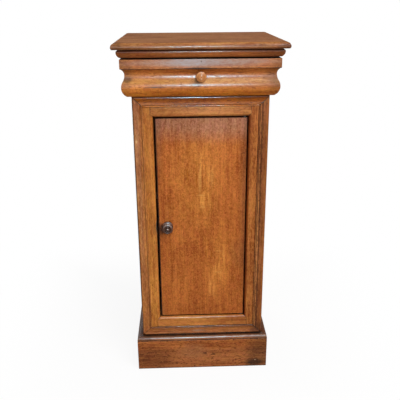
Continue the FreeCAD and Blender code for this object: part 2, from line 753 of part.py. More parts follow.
def sliding_dovetail(clearance):
    """The right drawer side's dovetail, or with a clearance its groove in the drawer front."""
    x = DRAWER_HALF - DRAWER_SIDE_THICKNESS / 2
    y0 = DRAWER_FRONT_BACK - DOVETAIL_DEPTH - clearance
    neck = DOVETAIL_NECK / 2 + clearance
    root = DOVETAIL_ROOT / 2 + clearance
    section = [
        vec(x - neck, DRAWER_FRONT_BACK, FRIEZE_Z0),
        vec(x - root, y0, FRIEZE_Z0),
        vec(x + root, y0, FRIEZE_Z0),
        vec(x + neck, DRAWER_FRONT_BACK, FRIEZE_Z0),
    ]
    return prism(section, vec(0, 0, FRIEZE_Z1 - FRIEZE_Z0 - DOVETAIL_STOP + clearance))


def bottom_panel(clearance):
    """The drawer's bottom panel, or with a clearance the grooves that it slides in."""
    x = DRAWER_INNER + DRAWER_GROOVE + clearance
    y0 = DRAWER_FRONT_BACK - DRAWER_GROOVE - clearance
    return block(-x, x, y0, DRAWER_END, PANEL_Z0 - clearance, PANEL_Z1 + clearance)


def dovetail_pins(clearance):
    """Pins at the right end of the drawer back, or with a clearance their sockets in the side."""
    z0 = PANEL_Z1
    z1 = DRAWER_Z1 - DRAWER_BACK_DROP
    pitch = (z1 - z0) / PINS
    pins = []
    for i in range(PINS):
        z = z0 + (i + 0.5) * pitch
        narrow = PIN_NARROW / 2 + clearance
        wide = PIN_WIDE / 2 + clearance
        corners = [
            vec(DRAWER_INNER, DRAWER_BACK_FRONT, z - wide),
            vec(DRAWER_INNER, DRAWER_BACK_FRONT, z + wide),
            vec(DRAWER_INNER, DRAWER_END, z + narrow),
            vec(DRAWER_INNER, DRAWER_END, z - narrow),
        ]
        pins.append(prism(corners, vec(DRAWER_SIDE_THICKNESS, 0, 0)))
    return pins


def drawer_knob_seat():
    """Bore and flat seat for the drawer knob in the moulded front."""
    bore_end = vec(0, -COVE_OUT + DRAWER_KNOB_TENON_LENGTH + FIT, KNOB_Z)
    bore = rod(DRAWER_KNOB_TENON + ROUND_FIT, bore_end, vec(0, -DRAWER_KNOB_TENON_LENGTH - BULGE_OUT, 0))
    seat = rod(DRAWER_KNOB_SHOULDER + FIT, vec(0, -COVE_OUT, KNOB_Z), vec(0, -BULGE_OUT, 0))
    return joined(bore, seat)


def waisted(section, neck, rim):
    """A turned hollow that swells into a head: two arcs that meet half way from neck to rim."""
    rise = rim[0] - neck[0]
    fall = rim[1] - neck[1]
    sweep = (rise * rise + fall * fall) / (4 * fall)
    section.turn((neck[0], neck[1] + sweep), ((neck[0] + rim[0]) / 2, (neck[1] + rim[1]) / 2))
    return section.turn((rim[0], rim[1] - sweep), rim)


def drawer_knob():
    """A turned knob with a shallow crown and a tenon, its centre mark left by the lathe."""
    neck = (DRAWER_KNOB_NECK_OUT, DRAWER_KNOB_NECK)
    rim = (DRAWER_KNOB_RIM_OUT, DRAWER_KNOB_RIM)
    flare = bowed(DRAWER_KNOB_SHOULDER, DRAWER_KNOB_NECK, DRAWER_KNOB_NECK_OUT)
    face_out = DRAWER_KNOB_RIM_OUT + DRAWER_KNOB_EDGE
    face_radius = DRAWER_KNOB_RIM - DRAWER_KNOB_EDGE
    crown = bowed(face_out, DRAWER_KNOB_LENGTH, face_radius)
    crown_centre = DRAWER_KNOB_LENGTH - crown
    mark_out = crown_centre + math.sqrt(crown**2 - LATHE_MARK**2)
    section = Outline(-DRAWER_KNOB_TENON_LENGTH, 0).line(-DRAWER_KNOB_TENON_LENGTH, DRAWER_KNOB_TENON)
    section.line(0, DRAWER_KNOB_TENON).line(0, DRAWER_KNOB_SHOULDER)
    section.turn((neck[0], neck[1] + flare), neck)
    waisted(section, neck, rim)
    section.turn((rim[0], face_radius), (face_out, face_radius))
    section.turn((crown_centre, 0), (mark_out, LATHE_MARK)).line(mark_out - LATHE_MARK, 0)
    face = section.face(lambda out, up: vec(0, -COVE_OUT - out, KNOB_Z + up))
    return face.revolve(vec(0, 0, KNOB_Z), Y_AXIS, 360)


def drawer_pieces():
    """A moulded front with returned ends, two sides, a back, a bottom panel and a knob."""
    front = returned(ogee_outline, FRIEZE_Z0, DRAWER_FRONT_BACK)
    groove = sliding_dovetail(FIT)
    front = front.cut(groove).cut(mirrored(groove)).cut(bottom_panel(FIT)).cut(drawer_knob_seat())

    side = block(
        DRAWER_INNER, DRAWER_HALF, DRAWER_FRONT_BACK, DRAWER_END, DRAWER_Z0, DRAWER_Z1
    )
    side = joined(side, sliding_dovetail(0)).cut(bottom_panel(FIT))
    for socket in dovetail_pins(FIT):
        side = side.cut(socket)

    back = block(
        -DRAWER_INNER,
        DRAWER_INNER,
        DRAWER_BACK_FRONT,
        DRAWER_END,
        PANEL_Z1,
        DRAWER_Z1 - DRAWER_BACK_DROP,
    )
    pins = dovetail_pins(0)
    return {
        "drawer_front": front,
        "drawer_side_left": mirrored(side),
        "drawer_side_right": side,
        "drawer_back": joined(back, *pins, *[mirrored(p) for p in pins]),
        "drawer_bottom": bottom_panel(0),
        "drawer_knob": drawer_knob(),
    }


def door_board():
    """The door: one upright oak board, bored for its two pivots and the knob's spindle."""
    board = block(DOOR_X0, DOOR_X1, DOOR_RECESS, DOOR_BACK, DOOR_Z0, DOOR_Z1)
    face_edges = [e for e in board.Edges if all(abs(v.Y - DOOR_RECESS) < FIT for v in e.Vertexes)]
    board = board.makeFillet(DOOR_EASE, face_edges)
    board = board.cut(pivot_hole(DOOR_Z0, DOOR_Z0 + PIVOT_IN_DOOR + FIT))
    board = board.cut(pivot_hole(DOOR_Z1 - PIVOT_IN_DOOR - FIT, DOOR_Z1))
    bore = rod(SPINDLE_RADIUS + PIN_FIT, vec(LATCH_X, DOOR_RECESS, LATCH_Z), vec(0, DOOR_THICKNESS, 0))
    return board.cut(bore)


def pivot_pieces():
    """Iron pins fixed in the rails, and the washer that the door's weight rests on."""
    lower_length = PIVOT_IN_RAIL + DOOR_GAP_BOTTOM + PIVOT_IN_DOOR
    upper_length = PIVOT_IN_RAIL + DOOR_GAP_TOP + PIVOT_IN_DOOR
    lower = rod(PIVOT_RADIUS, vec(PIVOT_X, PIVOT_Y, OPENING_Z0 - PIVOT_IN_RAIL), vec(0, 0, lower_length))
    upper = rod(PIVOT_RADIUS, vec(PIVOT_X, PIVOT_Y, DOOR_Z1 - PIVOT_IN_DOOR), vec(0, 0, upper_length))
    washer = rod(WASHER_RADIUS, vec(PIVOT_X, PIVOT_Y, OPENING_Z0), vec(0, 0, DOOR_GAP_BOTTOM - RUN))
    return {
        "pivot_pin_lower": lower,
        "pivot_pin_upper": upper,
        "pivot_washer": washer.cut(pivot_hole(OPENING_Z0, DOOR_Z0)),
    }


def door_knob():
    """A turned rosette, neck and ringed head with a button, bored for the iron spindle."""
    bore = SPINDLE_RADIUS + ROUND_FIT
    shelf = DOOR_KNOB_BASE - DOOR_KNOB_BASE_EASE
    ease_out = DOOR_KNOB_BASE_EDGE - DOOR_KNOB_BASE_EASE
    neck = (DOOR_KNOB_NECK_OUT, DOOR_KNOB_NECK)
    rim = (DOOR_KNOB_RIM_OUT, DOOR_KNOB_RIM)
    cove = bowed(shelf, DOOR_KNOB_NECK, DOOR_KNOB_NECK_OUT - DOOR_KNOB_BASE_EDGE)
    ring_out = DOOR_KNOB_RIM_OUT + DOOR_KNOB_RIM_ROUND
    ring = DOOR_KNOB_RIM - DOOR_KNOB_RIM_ROUND
    dish = ring - DOOR_KNOB_RING_WIDTH
    dome_out = DOOR_KNOB_LENGTH - DOOR_KNOB_DOME
    dome = bowed(dome_out, DOOR_KNOB_LENGTH, DOOR_KNOB_BUTTON)
    section = Outline(SPINDLE_IN_KNOB, 0).line(SPINDLE_IN_KNOB, bore).line(0, bore)
    section.line(0, DOOR_KNOB_BASE).line(ease_out, DOOR_KNOB_BASE)
    section.turn((ease_out, shelf), (DOOR_KNOB_BASE_EDGE, shelf))
    section.turn((neck[0], neck[1] + cove), neck)
    waisted(section, neck, rim)
    section.turn((rim[0], ring), (ring_out, ring)).line(ring_out, dish)
    section.arc((ring_out - DOOR_KNOB_DISH, (dish + DOOR_KNOB_BUTTON) / 2), (ring_out, DOOR_KNOB_BUTTON))
    section.line(dome_out, DOOR_KNOB_BUTTON).turn((DOOR_KNOB_LENGTH - dome, 0), (DOOR_KNOB_LENGTH, 0))
    face = section.face(lambda out, up: vec(LATCH_X, DOOR_RECESS - RUN - out, LATCH_Z + up))
    return face.revolve(vec(LATCH_X, 0, LATCH_Z), Y_AXIS, 360)


def latch_pieces():
    """The knob, its iron spindle through the door, the latch tongue behind it and the nut."""
    spindle_y0 = DOOR_RECESS - RUN - SPINDLE_IN_KNOB
    spindle_length = NUT_Y + NUT_THICKNESS - spindle_y0
    spindle = rod(SPINDLE_RADIUS, vec(LATCH_X, spindle_y0, LATCH_Z), vec(0, spindle_length, 0))
    along = vec(0, TONGUE_THICKNESS + NUT_THICKNESS, 0)
    hole = rod(SPINDLE_RADIUS + ROUND_FIT, vec(LATCH_X, TONGUE_Y, LATCH_Z), along)
    half = TONGUE_WIDTH / 2
    end_z = LATCH_Z - TONGUE_LENGTH + half
    bar = block(LATCH_X - half, LATCH_X + half, TONGUE_Y, NUT_Y, end_z, LATCH_Z)
    ends = [rod(half, vec(LATCH_X, TONGUE_Y, z), vec(0, TONGUE_THICKNESS, 0)) for z in (end_z, LATCH_Z)]
    side = NUT_SIZE / 2
    nut = block(
        LATCH_X - side, LATCH_X + side, NUT_Y, NUT_Y + NUT_THICKNESS, LATCH_Z - side, LATCH_Z + side
    )
    return {
        "door_knob": door_knob(),
        "latch_spindle": spindle,
        "latch_tongue": joined(bar, *ends).cut(hole),
        "latch_nut": nut.cut(hole),
    }


def cabinet():
    """Every piece of the cabinet, by name."""
    pieces = {}
    pieces.update(top_pieces())
    pieces.update(three_sided("cornice", cornice_outline(), Z_CORNICE))
    pieces.update(frieze_sides())
    pieces.update(top_rail_pieces())
    pieces.update(cleat_pieces())
    pieces.update(side_pieces())
    pieces.update(frame_pieces())
    pieces.update(level_boards())
    pieces.update(shelf_pieces())
    pieces.update(back_pieces())
    pieces.update(three_sided("plinth", plinth_outline(), 0))
    pieces.update(three_sided("plinth_cap", cap_outline(), Z_CAP))
    pieces.update(glue_blocks())
    pieces.update(drawer_pieces())
    pieces["door_board"] = door_board()
    pieces.update(pivot_pieces())
    pieces.update(latch_pieces())
    return pieces


os.makedirs("parts", exist_ok=True)
for node, shape in cabinet().items():
    shape.translate(vec(0, Y_SHIFT, 0))
    shape.exportStep(f"parts/{node}.step")
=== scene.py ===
import bmesh
import bpy
import json
import math
from collections import namedtuple
from mathutils import Matrix, Vector

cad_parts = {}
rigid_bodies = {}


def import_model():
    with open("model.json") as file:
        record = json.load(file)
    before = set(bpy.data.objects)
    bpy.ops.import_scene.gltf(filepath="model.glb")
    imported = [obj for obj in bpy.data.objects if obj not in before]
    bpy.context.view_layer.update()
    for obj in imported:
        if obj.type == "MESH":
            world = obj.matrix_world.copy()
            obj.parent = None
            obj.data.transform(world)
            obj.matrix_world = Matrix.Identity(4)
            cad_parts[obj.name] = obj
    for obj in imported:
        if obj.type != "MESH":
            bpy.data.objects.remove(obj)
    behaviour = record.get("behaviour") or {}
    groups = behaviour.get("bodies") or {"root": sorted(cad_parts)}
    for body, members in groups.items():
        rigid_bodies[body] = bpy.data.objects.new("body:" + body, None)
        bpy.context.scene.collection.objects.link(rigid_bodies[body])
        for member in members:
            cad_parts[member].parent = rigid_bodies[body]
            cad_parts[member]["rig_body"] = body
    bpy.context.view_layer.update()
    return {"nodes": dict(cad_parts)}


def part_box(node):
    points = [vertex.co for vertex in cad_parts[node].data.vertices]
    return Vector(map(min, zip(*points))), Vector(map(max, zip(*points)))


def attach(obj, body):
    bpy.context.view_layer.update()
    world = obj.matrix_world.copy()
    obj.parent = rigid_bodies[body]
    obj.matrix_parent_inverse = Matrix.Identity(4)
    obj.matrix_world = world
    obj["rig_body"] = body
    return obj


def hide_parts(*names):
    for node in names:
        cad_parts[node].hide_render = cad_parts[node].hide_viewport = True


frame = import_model()
scene = bpy.context.scene
scene.view_settings.view_transform = "Standard"


# Carcass sides: two upright oak boards, grooved inside for the level boards and rebated for the back.
# Planed by hand, stained and waxed many times over, so the grain shows dark and every arris is soft.
SIDE_TONE = (158, 92, 42)
SIDE_ARRIS = 0.0008
ARRIS_STEPS = 2
WELD = 0.000002
FLAT_ENOUGH = math.radians(0.4)
SHARP_ENOUGH = math.radians(28)
CREASE = math.radians(40)
FLAT_FACE_WEIGHT = 100


class Shade:
    """A socket of a finish, so that its sums are written as plain Python."""

    def __init__(self, tree, socket=None):
        self.tree = tree
        self.socket = socket

    def node(self, kind, settings, sockets, out=0):
        """A node by type, with its settings first and then the values or links of its sockets."""
        made = self.tree.nodes.new("ShaderNode" + kind)
        for name, value in settings.items():
            setattr(made, name, value)
        for name, value in sockets.items():
            if isinstance(value, Shade):
                self.tree.links.new(value.socket, made.inputs[name])
            else:
                made.inputs[name].default_value = value
        return None if out is None else Shade(self.tree, made.outputs[out])

    def maths(self, operation, first, second):
        """A sum of two numbers, by the name of what is done with them."""
        return self.node("Math", {"operation": operation}, {0: first, 1: second})

    def __add__(self, other):
        return self.maths("ADD", self, other)

    def __sub__(self, other):
        return self.maths("SUBTRACT", self, other)

    def __rsub__(self, other):
        return self.maths("SUBTRACT", other, self)

    def __mul__(self, other):
        return self.maths("MULTIPLY", self, other)

    __radd__ = __add__
    __rmul__ = __mul__


def linear(tone, gain=(1, 1, 1)):
    """A stain as eyes see it (0 to 255) to the value that light works with, made stronger or weaker."""
    steps = [c / 255 for c in tone]
    light = [c / 12.92 if c <= 0.04045 else ((c + 0.055) / 1.055) ** 2.4 for c in steps]
    return tuple(min(1, c * g) for c, g in zip(light, gain)) + (1,)


def rise(value, low, high):
    """0 below low, 1 above high and a smooth rise between."""
    sockets = {"Value": value, "From Min": low, "From Max": high}
    return value.node("MapRange", {"interpolation_type": "SMOOTHSTEP"}, sockets)


def blend(share, first, second):
    """One colour laid over another by a share."""
    return share.node("Mix", {"data_type": "RGBA"}, {0: share, 6: first, 7: second}, 2)


def vectors(operation, first, second=(0, 0, 0), out="Vector"):
    """A sum of two vectors, by the name of what is done with them."""
    return first.node("VectorMath", {"operation": operation}, {0: first, 1: second}, out)


def cloud(where, swells, detail=2.0, warp=0.0):
    """Soft random variation, with so many swells to the metre each way."""
    spot = vectors("MULTIPLY", where, swells)
    return where.node("TexNoise", {}, {"Vector": spot, "Scale": 1.0, "Detail": detail, "Distortion": warp})


# A tint makes the wood lighter, darker or warmer on a spot, a mark lies over it, and a seam is a dark line
# in a joint or hollow. Most are dirt, stains and wear; some are painted light or shade.
Spot = namedtuple("Spot", "middle reach")
Tint = namedtuple("Tint", "middle reach gain")
Mark = namedtuple("Mark", "middle reach stain strength")
Seam = namedtuple("Seam", "point across half strength")
FRAY_SWELLS = 1.4
SPOT_EDGE = (0.4, 1.1)


def near(where, spot, ragged=0.6):
    """1 in the middle of a spot, tint or mark and 0 beyond its reach, with a ragged rim."""
    away = vectors("DIVIDE", vectors("SUBTRACT", where, spot.middle), spot.reach)
    distance = vectors("LENGTH", away, out="Value")
    fray = cloud(where, tuple(FRAY_SWELLS / r for r in spot.reach), 3.0) - 0.5
    return 1 - rise(distance + fray * ragged, *SPOT_EDGE)


def new_finish(name):
    """An empty finish, and the root that its nodes are made from."""
    material = bpy.data.materials.new(name)
    material.use_nodes = True
    material.node_tree.nodes.clear()
    return material, Shade(material.node_tree)


def close_finish(root, sockets):
    """The surface itself, from what was worked out for it."""
    surface = root.node("BsdfPrincipled", {}, sockets)
    root.node("OutputMaterial", {}, {"Surface": surface}, None)


def tinted(share, colour, gain):
    """The wood itself made lighter, darker or warmer by a share."""
    return blend(share, colour, vectors("MULTIPLY", colour, gain))


# Gains on a board's own tone, and two stains: grime, which also paints shade into hollows, and bare wood.
LIGHT_WOOD = (1.3, 1.42, 1.5)
DARK_WOOD = (0.6, 0.48, 0.4)
RED_WOOD = (1.04, 0.9, 1.12)
PORE = (0.3, 0.22, 0.18)
RAY = (1.6, 2.0, 2.5)
GRIME_AND_SHADE = (26, 14, 8)
BARE = (196, 146, 98)
# Swells to the metre, across the grain and along it. The shift cuts each board from another place.
BOARD_SHIFT = (3.1, 5.3, 7.7)
SOFT = (0.3, 0.7)
STREAK_SWELLS = (75, 3)
FIBRE_SWELLS = (360, 14)
MOTTLE_SWELLS = (230, 90)
RAY_MOTTLE_SWELLS = (230, 190)
PORE_SWELLS = (520, 110)
PATCH_SWELLS = (14, 8)
WAVE_SWELLS = (24, 8)
WARM_SWELLS = (120, 45)
LIT_SWELLS = (16, 10)
DASH_SWELLS = (80, 300)
FLAKE_SWELLS = (170, 20)
SCAR_SWELLS = (330, 150)
RUB_SWELLS = (38, 38, 38)
# How much of each shows, and how far grime with painted shade, rubbing and the grain's relief reach.
GRAIN_SHARE = 0.3
PATCH_SHARE = 0.35
WARM_SHARE = 0.7
PORE_SHARE = 0.6
LIT_SHARE = 0.3
DASH_SHARE = 0.5
RUB_SHARE = 0.25
DIRT_AND_SHADE_SHARE = 0.9
SCAR_EDGE = (0.63, 0.71)
SCAR_SPREAD = 0.07
GRIME_AND_SHADE_REACH = 0.009
RUB_RADIUS = 0.002
GRAIN_RELIEF = 0.0009


def oak(name, grain, tone, figure=1.0, mottling=0.4, flecks=1.0, rays=0.0, zones=(), scars=0.3, gloss=0.34,
        shine=0.1, polish=0.0, blur=0.14, hands=None, dust=0.0, grime_and_shade=1.0, tints=(), marks=(), seams=()):
    """Waxed oak with its grain along one axis: streaks, mottle, pores, rays, stains, rubbed edges, grime.

    Figure, mottling and flecks say how strong the grain, the clouds in it and its dark pores are. Rays are
    pale flakes along the grain and dashes across it, thickest in the zones. Scars are dark bruises.
    Gloss is how dull the thin wax is and shine how much it mirrors. Polish is the hard wax on what faces up,
    where dusters rub, and blur how softly it mirrors. Hands is the spot that hands rub most, dust is how
    much duller level faces are, and grime is how dark the hollows grow, from dirt and from painted shade.
    Tints and marks lie on spots of the piece, and some are painted light or shade. A seam is a dark line of
    dirt or of painted shade in a joint or hollow, the same on the left and on the right.
    """
    material, root = new_finish(name)
    place = root.node("TexCoord", {}, {}, "Object")
    own = root.node("ObjectInfo", {}, {}, "Random")
    cut = {axis: own * shift for axis, shift in zip("XYZ", BOARD_SHIFT)}
    board = vectors("ADD", place, root.node("CombineXYZ", {}, cut))

    def grained(swells, detail=2.0, warp=0.0):
        """A cloud drawn out along the grain: its swells are those across the grain and along it."""
        across, along = swells
        return cloud(board, tuple(along if axis == grain else across for axis in "xyz"), detail, warp)

    # The figure of the wood, from broad patches down to single pores.
    streak = rise(grained(STREAK_SWELLS, 3.0), *SOFT)
    fibre = rise(grained(FIBRE_SWELLS), *SOFT)
    mottle = rise(grained(RAY_MOTTLE_SWELLS if rays else MOTTLE_SWELLS, 3.0, 1.2), *SOFT)
    pore = rise(grained(PORE_SWELLS), 0.58, 0.72)
    patch = rise(grained(PATCH_SWELLS), *SOFT)
    wave = grained(WAVE_SWELLS, 1.0)
    warm = rise(grained(WARM_SWELLS, 3.0), 0.35, 0.65)
    average = GRAIN_SHARE + (PATCH_SHARE + mottling) / 2
    level = (streak + fibre) * GRAIN_SHARE + mottle * mottling + patch * PATCH_SHARE - average
    colour = blend(level * figure + 0.5, linear(tone, DARK_WOOD), linear(tone, LIGHT_WOOD))
    colour = tinted(warm * WARM_SHARE, colour, RED_WOOD)
    colour = blend(pore * (PORE_SHARE * flecks), colour, linear(tone, PORE))
    if rays:
        lit = rise(grained(LIT_SWELLS, 1.0), 0.42, 0.6) * LIT_SHARE
        for zone in zones:
            lit = lit + near(place, zone)
        dash = rise(grained(DASH_SWELLS, 2.0, 0.8), 0.52, 0.66) * DASH_SHARE
        flake = rise(grained(FLAKE_SWELLS, 2.0, 0.5), 0.46, 0.66)
        colour = blend((dash + flake) * lit * rays, colour, linear(tone, RAY))
    scar = rise(grained(SCAR_SWELLS, 4.0, 0.8), *(edge - SCAR_SPREAD * scars for edge in SCAR_EDGE))
    colour = blend(scar * scars, colour, linear(tone, PORE))

    # What has happened to it in certain places.
    for tint in tints:
        colour = tinted(near(place, tint), colour, tint.gain)
    for mark in marks:
        patchy = (mottle * 0.6 + 0.7) * mark.strength
        colour = blend(near(place, mark) * patchy, colour, linear(mark.stain))
    for seam in seams:
        away = vectors("SUBTRACT", vectors("ABSOLUTE", place), seam.point)
        off = root.maths("ABSOLUTE", vectors("DOT_PRODUCT", away, seam.across, "Value"), 0)
        line = 1 - rise(off + (mottle - 0.5) * (seam.half * 0.7), seam.half * 0.4, seam.half)
        colour = blend(line * seam.strength, colour, linear(GRIME_AND_SHADE))

    # Arrises rubbed bare where nothing shelters them, and in the hollows dirt where dusters don't reach,
    # together with painted shade, darkest where least of the room is open.
    open_sky = root.node("AmbientOcclusion", {"samples": 8}, {"Distance": GRIME_AND_SHADE_REACH}, "AO")
    soft = root.node("Bevel", {"samples": 4}, {"Radius": RUB_RADIUS})
    hard = root.node("NewGeometry", {}, {}, "Normal")
    rubbed = rise(1 - vectors("DOT_PRODUCT", soft, hard, "Value"), 0.015, 0.2)
    rubbed = rubbed * rise(open_sky, 0.72, 0.95) * rise(cloud(board, RUB_SWELLS), 0.35, 0.6)
    colour = blend(rubbed * RUB_SHARE, colour, linear(BARE))
    # Dirt and painted shade: the colour goes to grime where the ambient occlusion finds hollows.
    dirt_and_shade = rise(1 - open_sky + (mottle - 0.5) * 0.12, 0.2, 0.62) * grime_and_shade
    colour = blend(dirt_and_shade * DIRT_AND_SHADE_SHARE, colour, linear(GRIME_AND_SHADE))

    # Dust, the feel of the grain and the hard wax over it.
    upward = root.node("SeparateXYZ", {}, {"Vector": hard}, "Z")
    dusty = rise(upward, 0.75, 0.97) * dust
    roughness = gloss + (fibre - 0.5) * 0.1 + pore * 0.14 + dirt_and_shade * 0.3 + (patch - 0.5) * 0.08 + dusty
    height = wave * 1.6 + fibre * 0.18 + mottle * 0.12 - pore * 0.3
    normal = root.node("Bump", {}, {"Strength": 0.4, "Distance": GRAIN_RELIEF, "Height": height})
    sockets = {"Base Color": colour, "Roughness": roughness, "Normal": normal, "Specular IOR Level": shine}
    if polish:
        wax = rise(upward, -0.1, 0.25) * (fibre * 0.5 + mottle * 0.9 + 0.2) * (1 - pore * 0.6)
        wax = wax * (1 - dirt_and_shade) * (1 - dusty) * polish
        if hands:
            wax = wax * (near(place, hands, 0.3) * 0.85 + 0.15)
        sockets.update({"Coat Weight": wax, "Coat Roughness": blur})
    close_finish(root, sockets)
    return material


def shown(name, shape, finish, body):
    """A new piece from a mesh, which rides a body."""
    bmesh.ops.recalc_face_normals(shape, faces=shape.faces)
    mesh = bpy.data.meshes.new(name)
    shape.to_mesh(mesh)
    shape.free()
    for face in mesh.polygons:
        face.use_smooth = True
    mesh.set_sharp_from_angle(angle=CREASE)
    mesh.materials.append(finish)
    piece = bpy.data.objects.new(name, mesh)
    scene.collection.objects.link(piece)
    weighted = piece.modifiers.new("flat faces stay flat", "WEIGHTED_NORMAL")
    weighted.keep_sharp = True
    weighted.weight = FLAT_FACE_WEIGHT
    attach(piece, body)
    return piece


def shown_for(node, ending, shape, finish):
    """A new piece in place of a CAD node, on the node's body."""
    cad = frame["nodes"][node]
    piece = shown(node + ending, shape, finish, cad["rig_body"])
    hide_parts(node)


def worn(node, finish, arris):
    """The CAD piece again with its arrises rubbed round, as hands, dusters and wax leave them."""
    shape = bmesh.new()
    shape.from_mesh(frame["nodes"][node].data)
    bmesh.ops.remove_doubles(shape, verts=shape.verts, dist=WELD)
    bmesh.ops.dissolve_limit(shape, angle_limit=FLAT_ENOUGH, verts=shape.verts, edges=shape.edges)
    edges = [e for e in shape.edges if len(e.link_faces) == 2 and e.calc_face_angle() > SHARP_ENOUGH]
    bmesh.ops.bevel(shape, geom=edges, offset=arris, offset_type="OFFSET", segments=ARRIS_STEPS, profile=0.5,
                    affect="EDGES", clamp_overlap=True)
    shown_for(node, "_worn", shape, finish)


side_oak = oak("side oak", "z", SIDE_TONE)
for node in ("side_left", "side_right"):
    worn(node, side_oak, SIDE_ARRIS)


# Level boards and inner fittings: cupboard floor, drawer divider, shelf, battens, cleats, top rail and
# glue blocks. Plain oak left off the plane, dusty and never waxed, so it is greyer and duller.
INNER_TONE = (150, 108, 70)
INNER_ARRIS = 0.0006
inner_level = oak("inner oak, level", "x", INNER_TONE, gloss=0.62, shine=0.2, figure=0.8)
inner_deep = oak("inner oak, front to back", "y", INNER_TONE, gloss=0.62, shine=0.2, figure=0.8)
for node in ("cupboard_floor", "drawer_divider", "shelf", "top_rail"):
    worn(node, inner_level, INNER_ARRIS)
for node in ("shelf_batten_left", "shelf_batten_right", "top_cleat_left", "top_cleat_right", "glue_blocks"):
    worn(node, inner_deep, INNER_ARRIS)


# Back: three tongued boards nailed into the rebates, to the floor and to the divider. Sawn oak that has
# only seen the wall, with hand-made nails whose domed heads have gone brown.
BACK_TONE = (132, 92, 60)
SEAM_HALF = 0.0012
SIDEWAYS = (1, 0, 0)
NAIL_HEAD = 0.0036
NAIL_DOME = 0.0013
NAIL_SUNK = 0.0005
NAIL_APART = 0.05
NAIL_SIDES = 14
DOME_STEPS = 4
IRON_TONE = (72, 64, 58)
DARK_IRON = (0.6, 0.6, 0.6)
BRIGHT_IRON = (1.4, 1.4, 1.4)
RUST_TONE = (92, 52, 30)
SCALE_SWELLS = (420, 420, 420)
RUST_SWELLS = (130, 130, 130)
SCALE_RELIEF = 0.0004
BACK_JOINT = Seam((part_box("back_board_middle")[1][0], 0, 0), across=SIDEWAYS, half=SEAM_HALF, strength=0.9)
back_oak = oak("back oak", "z", BACK_TONE, gloss=0.7, shine=0.15, figure=1.1, seams=[BACK_JOINT])
back_boards = ("back_board_left", "back_board_middle", "back_board_right")
for node in back_boards:
    worn(node, back_oak, INNER_ARRIS)


def iron(name, rust):
    """Dark iron with forge scale, rusty in patches."""
    material, root = new_finish(name)
    place = root.node("TexCoord", {}, {}, "Object")
    scale = cloud(place, SCALE_SWELLS, 4.0)
    stain = rise(cloud(place, RUST_SWELLS, 3.0), 0.45, 0.65) * rust
    colour = blend(rise(scale, *SOFT), linear(IRON_TONE, DARK_IRON), linear(IRON_TONE, BRIGHT_IRON))
    colour = blend(stain, colour, linear(RUST_TONE))
    normal = root.node("Bump", {}, {"Strength": 0.35, "Distance": SCALE_RELIEF, "Height": scale})
    sockets = {"Base Color": colour, "Metallic": 0.9 - stain * 0.8, "Roughness": 0.42 + stain * 0.35}
    close_finish(root, {**sockets, "Normal": normal})
    return material


def turned(shape, section, start, axis, sides):
    """Sweep a section of (out, radius) points round an axis and add it to a mesh."""
    turn = Vector((0, 0, 1)).rotation_difference(Vector(axis)).to_matrix()
    rings = []
    for out, radius in section:
        angles = [2 * math.pi * i / sides for i in range(sides)] if radius > WELD else [0.0]
        ring = [Vector((radius * math.cos(a), radius * math.sin(a), out)) for a in angles]
        rings.append([shape.verts.new(Vector(start) + turn @ p) for p in ring])
    for low, high in zip(rings, rings[1:]):
        for i in range(sides):
            after = i + 1
            around = (low[i % len(low)], low[after % len(low)], high[after % len(high)], high[i % len(high)])
            shape.faces.new(list(dict.fromkeys(around)))


def swept(section, centre, end, steps=8):
    """Carry a section on round a centre, the shorter way, to an end point."""
    start = section[-1]
    radius = math.dist(start, centre)
    first = math.atan2(start[1] - centre[1], start[0] - centre[0])
    last = math.atan2(end[1] - centre[1], end[0] - centre[0])
    turn = (last - first + math.pi) % (2 * math.pi) - math.pi
    for i in range(1, steps):
        angle = first + turn * i / steps
        section.append((centre[0] + radius * math.cos(angle), centre[1] + radius * math.sin(angle)))
    section.append(end)


def bowed(fall, along):
    """Radius of an arc that falls so far over a length, level where it starts."""
    return (fall ** 2 + along ** 2) / (2 * fall)


nail_iron = iron("nail iron", rust=0.8)
nail_section = [(-NAIL_SUNK, 0), (-NAIL_SUNK, NAIL_HEAD), (0, NAIL_HEAD)]
swept(nail_section, (NAIL_DOME - bowed(NAIL_DOME, NAIL_HEAD), 0), (NAIL_DOME, 0), DOME_STEPS)
back_nails = bmesh.new()
for node in back_boards:
    low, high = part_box(node)
    for held in ("cupboard_floor", "drawer_divider"):
        level = sum(corner[2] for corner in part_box(held)) / 2
        for offset in (-NAIL_APART / 2, NAIL_APART / 2):
            middle = ((low[0] + high[0]) / 2 + offset, high[1], level)
            turned(back_nails, nail_section, middle, (0, 1, 0), NAIL_SIDES)
shown("back_nail_heads", back_nails, nail_iron, "carcass")


# Front frame: two stiles and two rails, mortised and tenoned, with a rounded inner edge.
# The stiles' grain stands upright and the rails' lies level; grime sits along the shoulder lines.
LEFT_STILE_TONE = (176, 110, 46)
RIGHT_STILE_TONE = (164, 98, 43)
RAIL_TONE = (174, 107, 47)
FRAME_ARRIS = 0.0005
EDGE_ROUND = 0.0065
WIDE_SEAM = SEAM_HALF * 1.3
UPWARDS = (0, 0, 1)
RISING = (math.sqrt(0.5), 0, math.sqrt(0.5))
FALLING = (math.sqrt(0.5), 0, -math.sqrt(0.5))
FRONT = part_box("stile_left")[0][1]
OPENING_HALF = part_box("stile_right")[0][0]
OPENING_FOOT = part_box("rail_lower")[1][2]
OPENING_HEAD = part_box("rail_upper")[0][2]
RAIL_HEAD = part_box("rail_upper")[1][2]
RAIL_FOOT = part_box("edge_moulding_bottom")[1][2]
FINGER_DIRT = Tint((-0.114, FRONT, 0.41), reach=(0.012, 0.02, 0.02), gain=(0.75, 0.75, 0.8))
PALE_FOOT = Tint((-0.12, FRONT, 0.2), reach=(0.03, 0.03, 0.18), gain=(1.26, 1.36, 1.34))
